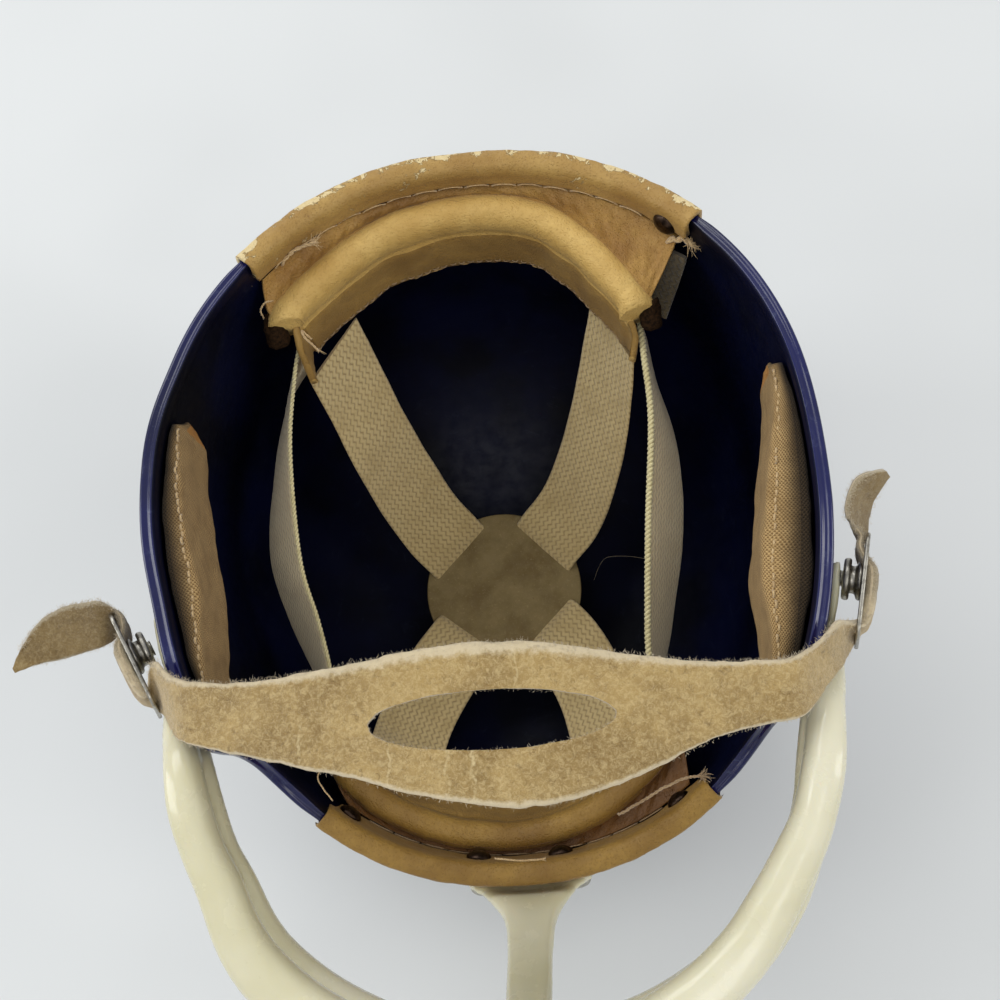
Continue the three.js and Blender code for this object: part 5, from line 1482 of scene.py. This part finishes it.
def rivet(name, node, angle, run, depth, inwards, material):
    size = 4.4
    normal = wall_normal(angle, run)
    point = wall_point(angle, run) + normal * depth
    profile = spline([(size, -1), (size, -0.3), (size * 0.99, 0.2), (size * 0.88, 0.9), (size * 0.6, 1.7),
                      (size * 0.3, 2.1), (0.05, 2.25)], 26)
    head = stand_on(lathe_points(profile, 40), point, -normal if inwards else normal)
    piece = grid_object(name, head, material)
    roughen(piece, (2, 0.12), seed=len(name))
    keep(piece, node, slot="bronze" if material is BRONZE else "nickel")


make_shell()
binding("nape_fold", "nape_binding", NAPE_START, 360 - NAPE_START, 11, 8.5, LEATHER_EDGE)
# The brow's fold and pad take the brow leather, darkened as painted shade.
binding("brow_fold", "brow_binding", -BROW_END, BROW_END, 11, 14, LEATHER_BROW_SHADED)
sweatband("nape_pad", "nape_sweatband", NAPE_BAND, LEATHER_NAPE, 2, (0.125, 0.875), 6.8, 0.035)
sweatband("brow_pad", "brow_sweatband", BROW_BAND, LEATHER_BROW_SHADED, 6, (0.06, 0.93), 4.6, 0.015, lean_in=6.5)
gusset("nape_web", "nape_gusset", NAPE_BAND, (225, 136), 11.3, WALL + 1.3, (0.14, 0.86), 5.6, LEATHER_DARK, 1)
# The brow gusset's leather is painted darker: painted shade in the gap.
gusset("brow_web", "brow_gusset", BROW_BAND, (-35, 35), 14, WALL + 3.4, (0.1, 0.9), 4.6, SHADED_BROW_GUSSET, 2)
make_disc()
webbing("crown_webbing_a", "crown_strap_a", edges_from_bearing(STRAP_A, 200), seed=1)
webbing("crown_webbing_b", "crown_strap_b", edges_from_bearing(STRAP_B, 200), seed=2)
# The side straps use the lighter webbing, as painted light.
webbing("side_webbing_left", "side_strap_left", edges_of(SIDE_LEFT, 160), WEBBING_SIDE_PAINTED_LIGHT, seed=3)
webbing("side_webbing_right", "side_strap_right", edges_of(SIDE_RIGHT, 160), WEBBING_SIDE_PAINTED_LIGHT, seed=4)
selvage("side_cord_left", edges_of(SIDE_LEFT, 160)[0], 0.75, CORD)
selvage("side_cord_right", edges_of(SIDE_RIGHT, 160)[0], 1.15, CORD)
webbing("nape_webbing", "nape_tape_right", edges_of(NAPE_TAPE, 40), WEBBING_DARK, seed=5)
jaw_pad("jaw_cushion_left", "jaw_pad_left", PAD_LEFT, False, 1)
jaw_pad("jaw_cushion_right", "jaw_pad_right", PAD_RIGHT, True, 2)
make_mask()
make_slide("left")
make_slide("right")
make_chin_strap()

for number, turn in enumerate(BROW_RIVETS["turns"], 1):
    angle, run = edge(turn)
    names = f"brow_stud_{number}", f"brow_rivet_{number}"
    rivet(*names, angle, run - BROW_RIVETS["back"], ON_LEATHER, True, BRONZE)
angle, run = edge(NAPE_RIVET["turn"])
rivet("nape_stud", "nape_rivet", angle, run - NAPE_RIVET["back"], ON_LEATHER, True, BRONZE)
for side, sign in (("left", -1), ("right", 1)):
    rivet(f"mask_stud_{side}", f"mask_screw_{side}", FLANGE["angle"] + sign * SCREWS["aside"],
          height_to_run(SCREWS["height"]), FLANGE["outer"] + 0.3, False, NICKEL)


# Stitch lines, laces and loose threads.

def seam_line(name, turns, back, depth, pitch, length, radius, material):
    """Stitches of a hand-sewn line, which stand up from the leather."""
    path = near_edge(np.linspace(*turns, 200), back, -WALL - SEAT_INSIDE - LEATHER - depth)
    lift = np.tile([0, 0, 1.0], (len(path), 1))
    keep(tubes(name, stitch_paths(path, pitch, length, lift, 0.5, 0.12), radius, material), slot="leather")


def lace(name, points, radius, material, ends, seed):
    """A loose lace through a few points, with a tuft of frayed fibres at its last one."""
    chance = np.random.default_rng(seed)
    path = spline(points, 40)
    wobble = np.stack([grain(path + shift, 3.0, seed) for shift in ([0, 0, 0], [50, 0, 0], [0, 50, 0])], -1)
    path = path + wobble * radius * 0.8
    twist = np.linspace(0, np.linalg.norm(np.diff(path, axis=0), axis=1).sum() / radius * 0.9, 40)
    strands = two_plies(path, twist, radius, 0.5)
    radii = [np.full(40, radius * 0.62)] * 2
    onward = unit(path[-1] - path[-4])
    for _ in range(ends):
        lean = unit(onward + chance.normal(0, 0.75, 3))
        reach = chance.uniform(1.0, 4.2)
        t = np.linspace(0, 1, 6)[:, None]
        start = path[-1] - onward * chance.uniform(0, 1.6) + chance.normal(0, 0.25, 3)
        strands.append(start + lean * reach * t + chance.normal(0, 0.8, 3) * t**2)
        radii.append(np.linspace(0.16, 0.05, 6))
    keep(tubes(name, strands, radii, material, sides=6), slot="leather")


seam_line("nape_stitching", (222, 141.5), back=8.7, depth=0.15, pitch=9.4, length=8.7, radius=0.25,
          material=THREAD)
seam_line("brow_stitching", (-31, 29.5), back=13.7, depth=0.4, pitch=10.2, length=9.7, radius=0.24,
          material=THREAD_DULL)
lace("nape_lace_left", [
    (-66.5, 92.5, 155.5), (-65.4, 92.8, 158.2), (-62, 95, 159.5), (-57, 96.6, 160.4), (-53.4, 97.4, 161),
], 0.62, THREAD, 26, 31)
lace("nape_thread_left", [
    (-64.8, 97, 157), (-68.5, 93.4, 158), (-71.7, 90.2, 158.4), (-74.4, 88, 158.2), (-76.8, 86.3, 158.6),
], 0.5, THREAD, 8, 32)
lace("nape_loop_left", [
    (-71, 81.5, 151.5), (-73.5, 80, 152.8), (-75.5, 78, 151.5), (-75, 75.6, 147),
], 0.35, THREAD, 0, 33)
lace("nape_stitch_left", [
    (-58.6, 67, 147.5), (-61.4, 69.6, 149.3), (-60, 66.5, 149.6), (-57.4, 63.8, 148.6), (-55.6, 62.0, 148),
], 0.42, THREAD, 3, 34)
lace("nape_knot_right", [
    (68.5, 87.5, 155), (70.8, 86.2, 158.5), (73.6, 85.4, 158.8), (76, 84, 157.6),
], 1.0, THREAD, 60, 35)
lace("brow_lace_right", [
    (34.2, -101.2, 119.5), (41.5, -97.6, 121.5), (49.1, -93.9, 122), (57, -91, 122), (63.2, -90.6, 121),
], 0.5, THREAD_DULL, 34, 36)
lace("brow_thread_left", [
    (-65.1, -79.6, 122), (-66, -82.5, 123), (-64.5, -86, 122), (-61.5, -90.3, 121),
], 0.26, THREAD, 0, 37)
lace("brow_thread_middle", [
    (-8, -112.3, 118.5), (-2, -113.2, 120), (3, -113.6, 119.4), (8.7, -113.5, 118.6),
], 0.3, THREAD, 2, 38)
hair = [(37, -3, 10.6), (40.4, 3.8, 10.9), (44.4, 7, 11.7), (53.5, 6.1, 14.6), (61.4, 3.6, 17.6)]
keep(tubes("shell_loose_hair", [spline(hair, 40)], 0.1, FUZZ, sides=5), slot="shell_plastic")


# Stage, light and camera.

FLOOR_REACH = 6.0
CAMERA = {"place": (21.5, -83.5, 473.4), "turns": (-14.82, -3.0, 4.9), "focal": 1012, "frame": 1000}
SENSOR = 36


def make_floor():
    f = Finish("table_top", (224, 226, 226), {"Roughness": 0.75, "Specular IOR Level": 0.25})
    f.cover(f.noise(260, 2).between(0.35, 0.7), (218, 220, 220))
    mesh = bpy.data.meshes.new("table_top")
    corners = [(x * FLOOR_REACH, y * FLOOR_REACH, 0) for x, y in ((-1, -1), (1, -1), (1, 1), (-1, 1))]
    mesh.from_pydata(corners, [], [(0, 1, 2, 3)])
    mesh.materials.append(f.done())
    return link("table_top", mesh)


floor = make_floor()


def softbox(name, location, target, size, power, tint):
    light = bpy.data.lights.new(name, "AREA")
    light.shape = "RECTANGLE"
    light.size, light.size_y = size
    light.energy = power
    light.color = tint
    lamp = link(name, light)
    lamp.location = location
    lamp.rotation_euler = (Vector(target) - Vector(location)).to_track_quat("-Z", "Y").to_euler()


softbox("window_rear", (-0.9, 1.8, 2.2), (0, 0, 0.1), (2.2, 1.4), 25, (0.99, 1.0, 1.0))
softbox("window_above", (0.1, -0.95, 2.0), (0, -0.05, 0.1), (1.0, 1.0), 8.0, (1.0, 1.0, 0.99))
softbox("window_left", (-2.1, 0.1, 1.3), (0, 0, 0.1), (0.8, 2.0), 16, (0.98, 1.0, 1.0))
softbox("window_right", (1.9, -0.3, 1.3), (0, 0, 0.1), (0.5, 1.4), 9, (1.0, 0.99, 0.97))
world = bpy.data.worlds.new("room")
world.use_nodes = True
sky = world.node_tree.nodes["Background"].inputs
sky["Color"].default_value = (0.97, 0.985, 1.0, 1)
sky["Strength"].default_value = 0.55
bpy.context.scene.world = world
bpy.context.scene.view_settings.view_transform = "Standard"
bpy.context.scene.view_settings.look = "None"


def make_camera():
    about_x, about_y, about_z = (turning(axis, degrees) for axis, degrees in enumerate(CAMERA["turns"]))
    axes = (about_z @ about_y @ about_x) @ LEAN.T
    place = Matrix(axes.T.tolist()).to_4x4()
    place.translation = Vector(lying(CAMERA["place"]))
    data = bpy.data.cameras.new("camera")
    data.sensor_fit = "HORIZONTAL"
    data.sensor_width = SENSOR
    data.lens = SENSOR * CAMERA["focal"] / CAMERA["frame"]
    data.clip_start = 0.01
    camera = link("camera", data)
    camera.matrix_world = place
    bpy.context.scene.camera = camera


make_camera()


bpy.context.view_layer.update()
